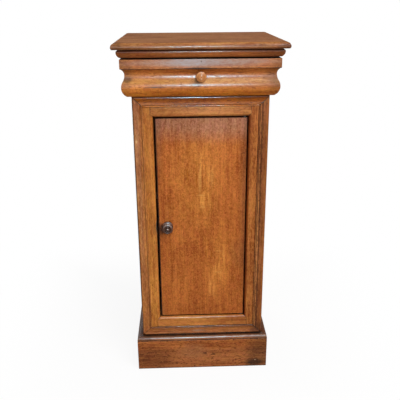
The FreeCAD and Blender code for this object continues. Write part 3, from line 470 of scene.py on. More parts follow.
# Painted shade: the right stile's rounded inner edge beside the opening is darkened to a deep brown.
PAINTED_SHADE_EDGE = Tint((OPENING_HALF, FRONT, 0.42), reach=(0.0055, 0.03, 2.0), gain=(0.55, 0.36, 0.16))
# Painted sheen: the upper rail is greyer and bluer towards its head.
PAINTED_SHEEN_RAIL = Tint((0, FRONT, RAIL_HEAD), reach=(0.3, 0.05, 0.06), gain=(0.96, 1.1, 1.45))
# Painted highlight: a lighter golden band along the top edge of the lower rail.
PAINTED_HIGHLIGHT_SILL = Tint((0, FRONT, OPENING_FOOT), reach=(0.1, 0.03, 0.014), gain=(1.17, 1.36, 1.3))
PALE_RAIL = Tint((-0.015, FRONT, 0.121), reach=(0.035, 0.03, 0.012), gain=(1.3, 1.4, 1.5))
RAIL_CRACK = Mark((0.0804, FRONT, 0.1387), reach=(0.0012, 0.004, 0.006), stain=(52, 28, 14), strength=0.8)
SHOULDER = Seam((OPENING_HALF + EDGE_ROUND, 0, 0), across=SIDEWAYS, half=WIDE_SEAM, strength=0.7)
FOOT_MITRE = Seam((OPENING_HALF, 0, OPENING_FOOT), across=RISING, half=SEAM_HALF, strength=0.8)
HEAD_MITRE = Seam((OPENING_HALF, 0, OPENING_HEAD), across=FALLING, half=SEAM_HALF, strength=0.8)
FOOT_JOINT = Seam((0, 0, RAIL_FOOT), across=UPWARDS, half=SEAM_HALF, strength=0.8)
left_stile_oak = oak("left stile oak", "z", LEFT_STILE_TONE, figure=1.3, tints=[FINGER_DIRT, PALE_FOOT])
right_stile_oak = oak("right stile oak", "z", RIGHT_STILE_TONE, figure=1.4, mottling=0.6, tints=[PAINTED_SHADE_EDGE])
rail_oak = oak("rail oak", "x", RAIL_TONE, figure=1.3, polish=0.3, blur=0.2,
               tints=[PAINTED_SHEEN_RAIL, PAINTED_HIGHLIGHT_SILL, PALE_RAIL], marks=[RAIL_CRACK],
               seams=[SHOULDER, FOOT_MITRE, HEAD_MITRE, FOOT_JOINT])
worn("stile_left", left_stile_oak, FRAME_ARRIS)
worn("stile_right", right_stile_oak, FRAME_ARRIS)
for node in ("rail_upper", "rail_lower"):
    worn(node, rail_oak, FRAME_ARRIS)


# Edge moulding: planted round the front frame and mitred, with a quirk, a bead and a rounded edge.
# A chip has come off the left one, and one nail that held the right one has gone.
LEFT_MOULDING_TONE = (168, 104, 50)
RIGHT_MOULDING_TONE = (146, 86, 40)
FOOT_MOULDING_TONE = (160, 96, 44)
# Partly painted shade: the head moulding, under the overhanging drawer front, is darker than the foot
# moulding.
HEAD_MOULDING_SHADED_TONE = (146, 78, 12)
MOULDING_ARRIS = 0.0008
BEAD_WIDTH = 0.0055
BEAD_CREST = 0.0045
RIM_CREST = 0.006
HOLLOW_HALF = 0.0035
FINE_SEAM = SEAM_HALF * 0.8
moulding_low, moulding_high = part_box("edge_moulding_right")
MOULDING_INNER = moulding_low[0]
MOULDING_OUTER = moulding_high[0]
HEAD_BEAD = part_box("edge_moulding_top")[0][2]
GOLDEN_SPAN = Tint((-0.15, FRONT, 0.44), reach=(0.04, 0.03, 0.17), gain=(1.18, 1.22, 1.18))
# Painted sheen: a grey band along the left moulding's outer flat.
PAINTED_SHEEN_BAND = Tint((-0.151, FRONT, 0.6), reach=(0.009, 0.03, 0.4), gain=(0.9, 1.02, 1.55))
GOLDEN_RIM = Tint((RIM_CREST - MOULDING_OUTER, FRONT, 0.34), reach=(0.0045, 0.03, 0.5), gain=(1.1, 1.14, 1.1))
HEAD_CORNER = Tint((-0.15, FRONT, 0.775), reach=(0.03, 0.04, 0.035), gain=(0.7, 0.74, 0.84))
DARK_SPAN = Tint((0.15, FRONT, 0.55), reach=(0.04, 0.03, 0.27), gain=(0.81, 0.79, 0.78))
FOOT_CORNER = Tint((0.16, FRONT, 0.1), reach=(0.04, 0.04, 0.045), gain=(0.46, 0.44, 0.44))
# Painted highlight: the right moulding's outer face is lighter and golden.
PAINTED_HIGHLIGHT_EDGE = Tint((0.157, FRONT, 0.42), reach=(0.004, 0.03, 0.7), gain=(1.2, 1.26, 1.1))
# Painted highlight: the right moulding's bead is much paler and greyer.
PAINTED_HIGHLIGHT_BEAD = Tint((MOULDING_INNER + BEAD_CREST, FRONT, 0.36), reach=(0.0038, 0.03, 0.5), gain=(1.7, 2.0, 2.25))
GOLDEN_BEAD = Tint((0, FRONT, HEAD_BEAD), reach=(0.4, 0.03, 0.008), gain=(1.3, 1.4, 1.2))
# Painted shade: the left moulding's outer rounded edge, turned away from the light, is darkened.
PAINTED_SHADE_OUTER = Mark((-0.161, FRONT, 0.42), reach=(0.0052, 0.03, 0.7), stain=(64, 36, 18), strength=0.8)
CHIP = Mark((-0.1532, FRONT, 0.6353), reach=(0.0026, 0.006, 0.0048), stain=(206, 164, 112), strength=0.95)
NAIL_HOLE = Mark((0.1548, FRONT, 0.7218), reach=(0.0018, 0.006, 0.0018), stain=(24, 14, 8), strength=1.0)
FOOT_WEAR = Mark((-0.0115, FRONT, 0.1098), reach=(0.022, 0.006, 0.004), stain=(150, 124, 102), strength=0.45)
MITRES = [Seam((MOULDING_OUTER, 0, moulding_high[2]), across=FALLING, half=SEAM_HALF, strength=0.9),
          Seam((MOULDING_OUTER, 0, moulding_low[2]), across=RISING, half=SEAM_HALF, strength=0.9)]
# Dirt in the joint between the right moulding and its stile, made darker with painted shade than the left
# one.
SHADED_INNER_JOINT = Seam((MOULDING_INNER, 0, 0), across=SIDEWAYS, half=FINE_SEAM, strength=0.9)
FINE_JOINT = Seam((MOULDING_INNER, 0, 0), across=SIDEWAYS, half=FINE_SEAM, strength=0.2)
QUIRK = Seam((MOULDING_INNER + BEAD_WIDTH, 0, 0), across=SIDEWAYS, half=FINE_SEAM, strength=0.15)
HOLLOW_MIDDLE = MOULDING_INNER + BEAD_WIDTH + HOLLOW_HALF
# Painted shade: a broad dark band down the right moulding's hollow.
PAINTED_SHADE_HOLLOW = Seam((HOLLOW_MIDDLE, 0, 0), across=SIDEWAYS, half=HOLLOW_HALF, strength=0.5)
left_moulding = oak("left moulding oak", "z", LEFT_MOULDING_TONE, figure=1.4, grime_and_shade=0.45, gloss=0.3,
                    polish=0.3, tints=[GOLDEN_SPAN, PAINTED_SHEEN_BAND, GOLDEN_RIM, HEAD_CORNER],
                    marks=[PAINTED_SHADE_OUTER, CHIP], seams=MITRES + [FINE_JOINT, QUIRK])
right_moulding = oak("right moulding oak", "z", RIGHT_MOULDING_TONE, figure=1.3, grime_and_shade=1.4, gloss=0.3,
                     polish=0.2, tints=[DARK_SPAN, FOOT_CORNER, PAINTED_HIGHLIGHT_EDGE, PAINTED_HIGHLIGHT_BEAD], marks=[NAIL_HOLE],
                     seams=MITRES + [SHADED_INNER_JOINT, PAINTED_SHADE_HOLLOW])
foot_moulding = oak("foot moulding oak", "x", FOOT_MOULDING_TONE, figure=1.3, grime_and_shade=0.8, gloss=0.3,
                    polish=0.5, tints=[FOOT_CORNER], marks=[FOOT_WEAR], seams=MITRES + [FOOT_JOINT])
head_moulding = oak("head moulding oak", "x", HEAD_MOULDING_SHADED_TONE, figure=1.6, scars=0.8, grime_and_shade=0.7,
                    polish=0.7, blur=0.09, tints=[GOLDEN_BEAD, HEAD_CORNER], seams=MITRES)
worn("edge_moulding_left", left_moulding, MOULDING_ARRIS)
worn("edge_moulding_right", right_moulding, MOULDING_ARRIS)
worn("edge_moulding_top", head_moulding, MOULDING_ARRIS)
worn("edge_moulding_bottom", foot_moulding, MOULDING_ARRIS)


# Plinth: three mitred boards that stand on the floor, and the moulded cap that lies on them.
# Brooms and shoes have left it darker than the rest, with stains, dents and a rubbed pale patch.
PLINTH_TONE = (160, 95, 48)
CAP_TONE = (146, 90, 44)
# Painted shade, with dust: the cap's side returns take a much darker tone.
CAP_SIDE_SHADED_TONE = (84, 48, 24)
PLINTH_ARRIS = 0.0008
PLINTH_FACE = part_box("plinth_front")[0][1]
PLINTH_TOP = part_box("plinth_front")[1][2]
cap_low, cap_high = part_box("plinth_cap_front")
LEFT_SHADE = Tint((-0.135, PLINTH_FACE, 0.035), reach=(0.085, 0.04, 0.05), gain=(0.72, 0.69, 0.68))
RIGHT_SHADE = Tint((0.166, PLINTH_FACE, 0.04), reach=(0.062, 0.04, 0.08), gain=(0.55, 0.59, 0.63))
PLINTH_HEAD = Tint((0, PLINTH_FACE, 0.076), reach=(0.4, 0.04, 0.022), gain=(1.22, 1.18, 1.02))
CAP_ENDS = [Tint((side, PLINTH_FACE, cap_high[2]), reach=(0.06, 0.1, 0.04), gain=(0.62, 0.62, 0.64))
            for side in (cap_low[0], cap_high[0])]
BROOM_STAIN = Mark((0.1415, PLINTH_FACE, 0.0121), reach=(0.03, 0.02, 0.014), stain=(44, 28, 18), strength=0.8)
RUBBED_PATCH = Mark((-0.026, PLINTH_FACE, 0.0535), reach=(0.05, 0.02, 0.03),
                    stain=(164, 112, 76), strength=0.3)
SHOE_DENT = Mark((0.1441, PLINTH_FACE, 0.0202), reach=(0.004, 0.01, 0.0016),
                 stain=(186, 150, 116), strength=0.7)
FLECKS = [Mark((x, PLINTH_FACE, z), reach=(0.007, 0.01, 0.003), stain=(58, 32, 16), strength=0.8)
          for x, z in ((0.0066, 0.046), (0.0285, 0.042))]
# Dirt and painted shade: the cap's top is darkened where the foot moulding overhangs it.
SEAM_DIRT_AND_SHADE = Mark((0, FRONT, cap_high[2]), reach=(0.5, 0.017, 0.01), stain=(26, 16, 10), strength=0.85)
# Dirt in the joint under the cap, with a painted shadow of the cap's overhang.
SHADED_CAP_JOINT = Seam((0, 0, PLINTH_TOP), across=UPWARDS, half=SEAM_HALF, strength=0.9)
plinth_oak = oak("plinth oak", "x", PLINTH_TONE, figure=1.4, flecks=1.6, scars=0.9,
                 tints=[LEFT_SHADE, RIGHT_SHADE, PLINTH_HEAD],
                 marks=[BROOM_STAIN, RUBBED_PATCH, SHOE_DENT] + FLECKS, seams=[SHADED_CAP_JOINT])
plinth_side_oak = oak("plinth side oak", "y", PLINTH_TONE, figure=1.4, flecks=1.6, scars=0.9,
                      seams=[SHADED_CAP_JOINT])
cap_oak = oak("plinth cap oak", "x", CAP_TONE, polish=0.6, blur=0.27,
              tints=CAP_ENDS, marks=[SEAM_DIRT_AND_SHADE], seams=[SHADED_CAP_JOINT])
cap_side_oak = oak("plinth cap side oak", "y", CAP_SIDE_SHADED_TONE, gloss=0.5, shine=0.06)
worn("plinth_front", plinth_oak, PLINTH_ARRIS)
worn("plinth_cap_front", cap_oak, PLINTH_ARRIS)
for node in ("plinth_left", "plinth_right"):
    worn(node, plinth_side_oak, PLINTH_ARRIS)
for node in ("plinth_cap_left", "plinth_cap_right"):
    worn(node, cap_side_oak, PLINTH_ARRIS)


# Drawer: an ogee front with returned ends, dovetailed sides, back and a thin bottom in grooves.
# The front is the most polished face of all. Old wax has gone grey on its fillet, with painted sheen in its
# middle and a golden painted sheen along the ogee, and a shadow of the knob is painted below and to its left.
DRAWER_TONE = (182, 112, 50)
FILLET_HEIGHT = 0.0205
COVE_FALL = 0.006
GREASE_FALL = 0.007
DRAWER_SHADOW_LEFT = 0.004
DRAWER_SHADOW_BELOW = 0.006
front_low, front_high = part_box("drawer_front")
pale_low, pale_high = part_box("drawer_knob")
FILLET_FOOT = front_high[2] - FILLET_HEIGHT
DRAWER_SHADOW_X = (pale_low[0] + pale_high[0]) / 2 - DRAWER_SHADOW_LEFT
DRAWER_SHADOW_Z = (pale_low[2] + pale_high[2]) / 2 - DRAWER_SHADOW_BELOW
RED_COVE = Tint((-0.02, FRONT, FILLET_FOOT - COVE_FALL), reach=(0.3, 0.05, 0.009), gain=(0.94, 0.84, 0.75))
GREASE = Tint((0, FRONT, FILLET_FOOT - GREASE_FALL), reach=(0.05, 0.05, 0.009), gain=(0.86, 0.78, 0.72))
GOLDEN_FOOT = Tint((0, FRONT, front_low[2]), reach=(0.4, 0.06, 0.026), gain=(1.14, 1.02, 0.5))
# Golden tone with painted sheen: yellower and greyer along the middle of the ogee, between its highlights.
GOLDEN_SHEEN_MIDDLE = Tint((0, FRONT, 0.7775), reach=(0.4, 0.06, 0.009), gain=(0.96, 1.24, 1.4))
DARK_END = Tint((front_high[0], FRONT, 0.785), reach=(0.05, 0.1, 0.05), gain=(0.52, 0.5, 0.52))
LEFT_END = Tint((front_low[0], FRONT, 0.79), reach=(0.035, 0.1, 0.06), gain=(0.68, 0.7, 0.74))
GREY_FILLET = Mark((0.01, FRONT, 0.8195), reach=(0.22, 0.05, 0.0145), stain=(156, 138, 130), strength=0.66)
# Painted sheen: the fillet is paler and greyer in its middle, over the grey old wax.
PAINTED_SHEEN_FILLET = Mark((-0.02, FRONT, 0.8195), reach=(0.08, 0.05, 0.0145), stain=(162, 152, 152), strength=0.6)
SMUDGE = Mark((-0.166, FRONT, 0.7821), reach=(0.016, 0.05, 0.008), stain=(70, 42, 26), strength=0.6)
STREAK = Mark((-0.103, FRONT, 0.7655), reach=(0.032, 0.06, 0.0024), stain=(104, 74, 58), strength=0.75)
SCRATCH = Mark((0.088, FRONT, 0.7945), reach=(0.009, 0.05, 0.0014), stain=(66, 38, 24), strength=0.8)
DARK_LIP = Mark((-0.005, FRONT, FILLET_FOOT), reach=(0.05, 0.05, 0.0032), stain=(66, 44, 34), strength=0.75)
FILLET_SPECK = Mark((0.0007, FRONT, 0.8215), reach=(0.002, 0.05, 0.003), stain=(60, 36, 22), strength=0.8)
# Painted shadow: dark below and to the left of the drawer knob.
PAINTED_DRAWER_KNOB_SHADOW = Mark((DRAWER_SHADOW_X, FRONT, DRAWER_SHADOW_Z), reach=(0.0135, 0.06, 0.0135), stain=(60, 32, 16), strength=0.8)
FILLET_LINE = Seam((0, 0, FILLET_FOOT), across=UPWARDS, half=SEAM_HALF, strength=0.8)
HANDS = Spot((0.03, FRONT, 0.803), reach=(0.19, 0.1, 0.062))
drawer_tints = [RED_COVE, GREASE, GOLDEN_FOOT, GOLDEN_SHEEN_MIDDLE, DARK_END, LEFT_END]
drawer_marks = [GREY_FILLET, PAINTED_SHEEN_FILLET, SMUDGE, STREAK, SCRATCH, DARK_LIP, FILLET_SPECK, PAINTED_DRAWER_KNOB_SHADOW]
drawer_oak = oak("drawer front oak", "x", DRAWER_TONE, gloss=0.44, polish=0.4, blur=0.27, scars=0.6,
                 hands=HANDS, tints=drawer_tints, marks=drawer_marks, seams=[FILLET_LINE])
worn("drawer_front", drawer_oak, FRAME_ARRIS)
worn("drawer_back", inner_level, FRAME_ARRIS)
for node in ("drawer_side_left", "drawer_side_right", "drawer_bottom"):
    worn(node, inner_deep, FRAME_ARRIS)


# Frieze sides, cornice and top: mouldings glued and pinned on the carcass, mitred at the front, under one
# board with a rounded nose. The top is the dullest, from lamps, cups and dusting.
FRIEZE_TONE = (172, 104, 48)
CORNICE_TONE = (156, 90, 38)
TOP_TONE = (148, 97, 54)
NOSE_CREST = 0.007
cornice_low, cornice_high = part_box("cornice_front")
top_low, top_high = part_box("top_board")
CORNICE_ENDS = [Tint((side, FRONT, 0.84), reach=(width, 0.1, 0.05), gain=(0.7, 0.68, 0.7))
                for side, width in ((cornice_high[0], 0.09), (cornice_low[0], 0.045))]
TOP_ENDS = [Tint((side, top_low[1], 0.855), reach=(0.035, 0.05, 0.02), gain=(0.6, 0.56, 0.56))
            for side in (top_low[0], top_high[0])]
# Painted highlight: a golden line along the upper arris of the top's nose.
PAINTED_HIGHLIGHT_NOSE = Tint((0, top_low[1] + NOSE_CREST, top_high[2]), reach=(0.5, 0.009, 0.004),
                   gain=(1.35, 1.4, 1.15))
frieze_oak = oak("frieze oak", "y", FRIEZE_TONE)
cornice_oak = oak("cornice oak", "x", CORNICE_TONE, polish=0.5, blur=0.1, grime_and_shade=0.7, tints=CORNICE_ENDS)
cornice_side_oak = oak("cornice side oak", "y", CORNICE_TONE, polish=0.5, blur=0.1, grime_and_shade=0.7)
top_oak = oak("top oak", "x", TOP_TONE, figure=1.4, polish=0.2, dust=0.9, tints=TOP_ENDS + [PAINTED_HIGHLIGHT_NOSE])
for node in ("frieze_left", "frieze_right"):
    worn(node, frieze_oak, FRAME_ARRIS)
worn("cornice_front", cornice_oak, FRAME_ARRIS)
for node in ("cornice_left", "cornice_right"):
    worn(node, cornice_side_oak, FRAME_ARRIS)
worn("top_board", top_oak, INNER_ARRIS)


# Door: one flat board on iron pins, grain upright and cut on the quarter, so that ray flakes show.
# Its left edge has gathered dirt and its middle is rubbed golden. Painted shade darkens its right strip and
# the rim beside the gap, a shadow of the knob is painted beside it, and painted sheen greys its head.
DOOR_TONE = (174, 98, 40)
DOOR_ARRIS = 0.0006
RAY_TONE = (214, 152, 78)
DOOR_SHADOW_LEFT = 0.0155
DOOR_SHADOW_BELOW = 0.006
door_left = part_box("door_board")[0][0]
knob_low, knob_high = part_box("door_knob")
DOOR_SHADOW_X = (knob_low[0] + knob_high[0]) / 2 - DOOR_SHADOW_LEFT
DOOR_SHADOW_Z = (knob_low[2] + knob_high[2]) / 2 - DOOR_SHADOW_BELOW
GOLDEN = Tint((-0.01, FRONT, 0.535), reach=(0.08, 0.05, 0.15), gain=(1.1, 1.24, 1.16))
GOLDEN_LOW = Tint((0.045, FRONT, 0.32), reach=(0.05, 0.05, 0.12), gain=(1.08, 1.16, 1.1))
# Painted shadow: the door's right strip, which the right stile shades, is darker and greyer.
PAINTED_SHADOW_EDGE = Tint((0.11, FRONT, 0.52), reach=(0.02, 0.05, 0.32), gain=(0.66, 0.68, 0.8))
DARK_PATCH = Tint((0.095, FRONT, 0.335), reach=(0.03, 0.05, 0.05), gain=(0.78, 0.78, 0.85))
# Painted sheen: the head of the door is greyer and bluer.
PAINTED_SHEEN_HEAD = Tint((0, FRONT, 0.695), reach=(0.25, 0.05, 0.075), gain=(0.82, 1.14, 2.9))
LEFT_EDGE = [Tint((door_left, FRONT, z), reach=(0.02, 0.05, height), gain=(0.74, 0.78, 0.9))
             for z, height in ((0.63, 0.13), (0.155, 0.05))]
RAY_ZONES = [Spot((0.0, FRONT, 0.56), reach=(0.012, 0.05, 0.06)),
             Spot((0.024, FRONT, 0.545), reach=(0.012, 0.05, 0.045)),
             Spot((0.01, FRONT, 0.485), reach=(0.03, 0.05, 0.03)),
             Spot((0.046, FRONT, 0.31), reach=(0.022, 0.05, 0.07)),
             Spot((0.026, FRONT, 0.245), reach=(0.012, 0.05, 0.05))]
CROSS_RAYS = [Mark((x, FRONT, z), reach=(0.012, 0.05, 0.0024), stain=RAY_TONE, strength=0.5)
              for x, z in ((-0.002, 0.495), (0.003, 0.464), (0.045, 0.342), (0.042, 0.281))]
PALE_FLAKES = [Mark((x, FRONT, z), reach=(0.005, 0.05, height), stain=RAY_TONE, strength=strength)
               for x, z, height, strength in ((-0.003, 0.535, 0.045, 0.5), (0.026, 0.54, 0.035, 0.3))]
# Painted shade: the door's left rim is stained black, deepening the gap beside the stile.
PAINTED_GAP_SHADE = Mark((door_left, FRONT, 0.3), reach=(0.0036, 0.05, 0.6), stain=GRIME_AND_SHADE, strength=1.0)
# Painted shadow: dark beside the door knob, to its left and a little below.
PAINTED_DOOR_KNOB_SHADOW = Mark((DOOR_SHADOW_X, FRONT, DOOR_SHADOW_Z), reach=(0.011, 0.05, 0.02), stain=(52, 28, 18), strength=0.85)
door_tints = [GOLDEN, GOLDEN_LOW, PAINTED_SHADOW_EDGE, DARK_PATCH, PAINTED_SHEEN_HEAD] + LEFT_EDGE
door_marks = CROSS_RAYS + PALE_FLAKES + [PAINTED_GAP_SHADE, PAINTED_DOOR_KNOB_SHADOW]
door_oak = oak("door oak", "z", DOOR_TONE, mottling=0.75, flecks=0.6, scars=0.4, rays=0.56, zones=RAY_ZONES,
               tints=door_tints, marks=door_marks)
worn("door_board", door_oak, DOOR_ARRIS)


# Ironwork: the door's pins and washer, the strike plate with its screws, and the latch behind the door.
# Forged, filed and left black, with a little rust.
black_iron = iron("black iron", rust=0.5)
iron_nodes = ("pivot_pin_upper", "pivot_pin_lower", "pivot_washer", "strike_plate", "strike_screws",
              "latch_spindle", "latch_tongue", "latch_nut")
for node in iron_nodes:
    frame["nodes"][node].data.materials[0] = black_iron


# Knobs: turned on the lathe. The drawer's is pale and shows the rings that the tool left; the door's is
# dark with polish and stands on a rosette, with a ring, a dish and a button on its head.
DRAWER_KNOB_TONE = (200, 132, 76)
DOOR_KNOB_TONE = (98, 66, 52)
HANDLED_AND_SHADED = (0.24, 0.17, 0.12)
PAINTED_SHEEN_GREY = (150, 136, 130)
FLECK_SWELLS = (900, 300, 900)
BLOTCH_SWELLS = (90, 90, 90)
RING_SWELLS = (0, 900, 0)
KNOB_GRIME_AND_SHADE_REACH = 0.006
KNOB_DIRT_AND_SHADE_SHARE = 0.85
RING_RELIEF = 0.0003
KNOB_SIDES = 64


def turned_wood(name, tone, rings, polish, blur, handled_and_shaded, painted_sheen):
    """Close-grained turned wood with faint rings round the axis of the lathe, which points forward.

    Handled is how dark the sides of the head are, from fingers and from painted shade, and bloom is how much
    pale grey painted sheen lies on what faces up and forward.
    """
    material, root = new_finish(name)
    place = root.node("TexCoord", {}, {}, "Object")
    fleck = rise(cloud(place, FLECK_SWELLS, 3.0), *SOFT)
    blotch = rise(cloud(place, BLOTCH_SWELLS), *SOFT)
    ring = rise(cloud(place, RING_SWELLS), 0.35, 0.65)
    colour = blend(fleck * 0.4 + blotch * 0.3 + 0.15, linear(tone, DARK_WOOD), linear(tone, LIGHT_WOOD))
    colour = blend(ring * rings, colour, linear(tone, PORE))
    hard = root.node("NewGeometry", {}, {}, "Normal")
    upward = root.node("SeparateXYZ", {}, {"Vector": hard}, "Z")
    ahead = 0 - root.node("SeparateXYZ", {}, {"Vector": hard}, "Y")
    # Finger dirt and painted shade: the sides of the head, turned away from the front, are darker.
    colour = tinted((1 - rise(ahead, 0.4, 0.92)) * handled_and_shaded, colour, HANDLED_AND_SHADED)
    open_sky = root.node("AmbientOcclusion", {"samples": 8}, {"Distance": KNOB_GRIME_AND_SHADE_REACH}, "AO")
    # Painted sheen: pale grey on what faces up and forward and is open to the room.
    sheen_faces = rise(upward, 0.1, 0.5) * rise(ahead, 0.4, 0.75) * rise(open_sky, 0.8, 0.95)
    colour = blend(sheen_faces * painted_sheen, colour, linear(PAINTED_SHEEN_GREY))
    # Dirt and painted shade in the knob's hollows, darkest where least of the room is open.
    dirt_and_shade = rise(1 - open_sky, 0.12, 0.5)
    colour = blend(dirt_and_shade * KNOB_DIRT_AND_SHADE_SHARE, colour, linear(GRIME_AND_SHADE))
    height = ring + fleck * 0.5
    normal = root.node("Bump", {}, {"Strength": 0.3, "Distance": RING_RELIEF, "Height": height})
    wax = rise(upward, 0.0, 0.4) * (1 - dirt_and_shade) * polish
    sockets = {"Base Color": colour, "Roughness": 0.36 + dirt_and_shade * 0.3 + fleck * 0.06, "Normal": normal}
    sockets.update({"Coat Weight": wax, "Coat Roughness": blur, "Specular IOR Level": 0.08})
    close_finish(root, sockets)
    return material


def waist(section, neck, rim):
    """A hollow that swells into a head: two round stretches that meet half way from neck to rim."""
    middle = ((neck[0] + rim[0]) / 2, (neck[1] + rim[1]) / 2)
    radius = bowed(middle[1] - neck[1], middle[0] - neck[0])
    swept(section, (neck[0], neck[1] + radius), middle)
    swept(section, (rim[0], rim[1] - radius), rim)


def knob(node, section, finish):
    """A turned knob in place of the CAD one, its section measured out from the face that it stands on."""
    low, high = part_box(node)
    back = low[1] + max(out for out, radius in section)
    shape = bmesh.new()
    turned(shape, section, ((low[0] + high[0]) / 2, back, (low[2] + high[2]) / 2), (0, -1, 0), KNOB_SIDES)
    shown_for(node, "_turned", shape, finish)


PALE_TENON = (-0.016, 0.005)
PALE_SHOULDER = 0.0075
PALE_NECK = (0.0075, 0.006)
PALE_RIM = (0.02, 0.012)
PALE_EDGE = 0.0025
PALE_LENGTH = 0.025
LATHE_MARK = 0.0012
LATHE_RING = 0.00025
FACE_STEPS = 16
STEPS_PER_RING = 4
face = (PALE_RIM[0] + PALE_EDGE, PALE_RIM[1] - PALE_EDGE)
crown = bowed(PALE_LENGTH - face[0], face[1])
pale_hollow = bowed(PALE_SHOULDER - PALE_NECK[1], PALE_NECK[0])
pale_section = [(PALE_TENON[0], 0), PALE_TENON, (0, PALE_TENON[1]), (0, PALE_SHOULDER)]
swept(pale_section, (PALE_NECK[0], PALE_NECK[1] + pale_hollow), PALE_NECK)
waist(pale_section, PALE_NECK, PALE_RIM)
swept(pale_section, (PALE_RIM[0], face[1]), face)
for i in range(1, FACE_STEPS + 1):
    radius = face[1] + (LATHE_MARK - face[1]) * i / FACE_STEPS
    out = PALE_LENGTH - crown + math.sqrt(crown ** 2 - radius ** 2)
    pale_section.append((out - LATHE_RING if i % STEPS_PER_RING == STEPS_PER_RING // 2 else out, radius))
pale_section.append((PALE_LENGTH - LATHE_MARK, 0))
pale_wood = turned_wood("pale turned wood", DRAWER_KNOB_TONE, rings=0.4, polish=0.6, blur=0.16,
                        handled_and_shaded=1.0, painted_sheen=0.0)
knob("drawer_knob", pale_section, pale_wood)

ROSETTE = 0.0128
ROSETTE_EDGE = 0.0032
ROSETTE_EASE = 0.0012
DARK_NECK = (0.0085, 0.0064)
DARK_RIM = (0.0185, 0.013)
DARK_RIM_ROUND = 0.0026
RING_WIDTH = 0.0016
RING_BEAD = 0.0005
DISH_DEPTH = 0.0022
BUTTON = 0.004
BUTTON_DOME = 0.0032
DARK_LENGTH = 0.026
rosette_face = ROSETTE - ROSETTE_EASE
dark_hollow = bowed(rosette_face - DARK_NECK[1], DARK_NECK[0] - ROSETTE_EDGE)
ring = (DARK_RIM[0] + DARK_RIM_ROUND, DARK_RIM[1] - DARK_RIM_ROUND)
dish = ring[1] - RING_WIDTH
bead_centre = (ring[0] - bowed(RING_BEAD, RING_WIDTH / 2) + RING_BEAD, (ring[1] + dish) / 2)
dish_centre = (ring[0] - DISH_DEPTH + bowed(DISH_DEPTH, (dish - BUTTON) / 2), (dish + BUTTON) / 2)
dark_section = [(0, 0), (0, ROSETTE), (ROSETTE_EDGE - ROSETTE_EASE, ROSETTE)]
swept(dark_section, (ROSETTE_EDGE - ROSETTE_EASE, rosette_face), (ROSETTE_EDGE, rosette_face))
swept(dark_section, (DARK_NECK[0], DARK_NECK[1] + dark_hollow), DARK_NECK)
waist(dark_section, DARK_NECK, DARK_RIM)
swept(dark_section, (DARK_RIM[0], ring[1]), ring)
swept(dark_section, bead_centre, (ring[0], dish))
swept(dark_section, dish_centre, (ring[0], BUTTON))
dark_section.append((DARK_LENGTH - BUTTON_DOME, BUTTON))
swept(dark_section, (DARK_LENGTH - bowed(BUTTON_DOME, BUTTON), 0), (DARK_LENGTH, 0))
dark_wood = turned_wood("dark turned wood", DOOR_KNOB_TONE, rings=0.2, polish=0.5, blur=0.25,
                        handled_and_shaded=0.4, painted_sheen=0.8)
knob("door_knob", dark_section, dark_wood)


# Floor: a plain pale floor that the camera sees as white, but for a soft shadow round the plinth, partly
# painted.
# Light that bounces off it comes from a duller grey, so that the cabinet isn't lit from below.
FLOOR_REACH = 20.0
FLOOR_GREY = (0.4, 0.4, 0.4, 1)
FLOOR_WHITE = (0.9, 0.9, 0.9, 1)
WHITE = (1, 1, 1, 1)
NEAR_GLOW = 0.9
FAR_GLOW = 1.0
GLOW_SPREAD = 0.5
FOOT_EDGE = 0.004


def looked_at(root):
    """1 for what the camera sees, straight or through gloss or glass, and 0 for light that bounces."""
    straight = root.node("LightPath", {}, {}, "Is Camera Ray")
    mirrored = root.node("LightPath", {}, {}, "Is Glossy Ray")
    through = root.node("LightPath", {}, {}, "Is Transmission Ray")
    return rise(straight + mirrored + through, 0.0, 1.0)


floor_finish, floor_root = new_finish("pale floor")
foot_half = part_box("plinth_front")[1][0]
foot_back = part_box("plinth_left")[1][1]
foot_middle = (0, (PLINTH_FACE + foot_back) / 2, 0)
foot_size = (foot_half, (foot_back - PLINTH_FACE) / 2, 0)
floor_place = floor_root.node("TexCoord", {}, {}, "Object")
past = vectors("SUBTRACT", vectors("ABSOLUTE", vectors("SUBTRACT", floor_place, foot_middle)), foot_size)
past_x = past.node("SeparateXYZ", {}, {"Vector": past}, "X")
past_y = past.node("SeparateXYZ", {}, {"Vector": past}, "Y")
outside = past.maths("MAXIMUM", past_x, past_y)
# Painted shadow: the floor's glow is a little dimmer near the plinth and none beneath it.
brighter = rise(outside, 0.0, GLOW_SPREAD) * (FAR_GLOW - NEAR_GLOW)
share = rise(outside, -FOOT_EDGE, 0.0) * (NEAR_GLOW + brighter)
matt = floor_root.node("BsdfDiffuse", {}, {"Color": FLOOR_GREY})
white = floor_root.node("BsdfDiffuse", {}, {"Color": FLOOR_WHITE})
glow = floor_root.node("Emission", {}, {"Color": WHITE, "Strength": 1.0})
bright = floor_root.node("MixShader", {}, {0: share, 1: white, 2: glow})
both = floor_root.node("MixShader", {}, {0: looked_at(floor_root), 1: matt, 2: bright})
floor_root.node("OutputMaterial", {}, {"Surface": both}, None)
floor_shape = bmesh.new()
bmesh.ops.create_grid(floor_shape, x_segments=2, y_segments=2, size=FLOOR_REACH)
floor_mesh = bpy.data.meshes.new("floor")
floor_shape.to_mesh(floor_mesh)
floor_shape.free()
floor_mesh.materials.append(floor_finish)
floor = bpy.data.objects.new("floor", floor_mesh)
scene.collection.objects.link(floor)


# Light: a broad soft lamp high on the right, two small ones just over the camera that the waxed mouldings
# mirror, a low one behind for the back and the sides, and an even glow from the room.
ROOM_GLOW = 0.22
DAYLIGHT = (0.25, 0.75, 1.0)


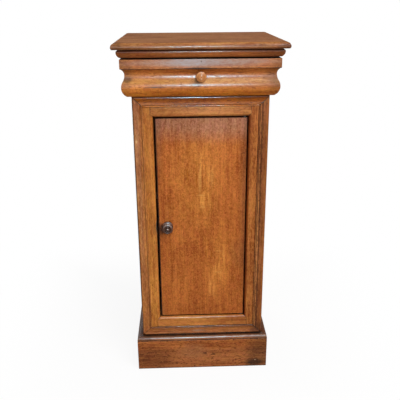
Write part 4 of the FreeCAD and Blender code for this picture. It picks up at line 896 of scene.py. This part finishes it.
def lamp(name, place, target, width, height, watts):
    """A soft rectangular lamp that faces a point of the cabinet."""
    data = bpy.data.lights.new(name, "AREA")
    data.shape = "RECTANGLE"
    data.size = width
    data.size_y = height
    data.energy = watts
    made = bpy.data.objects.new(name, data)
    made.location = place
    made.rotation_euler = (Vector(target) - Vector(place)).to_track_quat("-Z", "Y").to_euler()
    scene.collection.objects.link(made)
    return made


lamp("overhead lamp", place=(1.3, -1.8, 2.9), target=(0, -0.1, 0.35), width=1.8, height=1.3, watts=84)
lamp("camera lamp", place=(0.0, -1.45, 1.07), target=(0, -0.15, 0.6), width=0.4, height=0.14, watts=7)
lamp("rear lamp", place=(-0.7, 2.1, 0.45), target=(0, 0.18, 0.45), width=1.6, height=0.7, watts=28)
glint = lamp("glint lamp", place=(0.03, -1.45, 1.07), target=(0, -0.15, 0.6), width=0.28, height=0.14,
             watts=26)
glint.visible_diffuse = False
glint.data.color = DAYLIGHT

world = bpy.data.worlds.new("studio")
scene.world = world
world.use_nodes = True
world.node_tree.nodes.clear()
room = Shade(world.node_tree)
room_glow = room.node("Background", {}, {"Color": WHITE, "Strength": ROOM_GLOW})
backdrop = room.node("Background", {}, {"Color": WHITE, "Strength": 1.0})
room_light = room.node("MixShader", {}, {0: looked_at(room), 1: room_glow, 2: backdrop})
room.node("OutputWorld", {}, {"Surface": room_light}, None)


# Camera: held at a grown-up's chest, a good metre in front and a little to the left, looking down.
# Its place and angles are those at which the cabinet's parallel edges run as they do in the picture.
PHOTO_SIZE = 400
FOCAL_PX = 549.9
SENSOR = 36.0
YAW = math.radians(1.933)
PITCH = math.radians(20.447)
ROLL = math.radians(-0.396)
EYE_LEFT = 0.0465
EYE_AWAY = 1.2712
EYE_ABOVE_TOP = 0.0971
eye = Vector((-EYE_LEFT, FRONT - EYE_AWAY, top_high[2] + EYE_ABOVE_TOP))
level = Vector((math.sin(YAW), math.cos(YAW), 0))
side = Vector((math.cos(YAW), -math.sin(YAW), 0))
ahead = level * math.cos(PITCH) - Vector((0, 0, 1)) * math.sin(PITCH)
above = side.cross(ahead)
right = side * math.cos(ROLL) + above * math.sin(ROLL)
up = above * math.cos(ROLL) - side * math.sin(ROLL)
cam_data = bpy.data.cameras.new("camera")
cam_data.sensor_width = SENSOR
cam_data.lens = FOCAL_PX / PHOTO_SIZE * SENSOR
cam = bpy.data.objects.new("camera", cam_data)
basis = Matrix((right, up, -ahead)).transposed().to_4x4()
basis.translation = eye
cam.matrix_world = basis
scene.collection.objects.link(cam)
scene.camera = cam
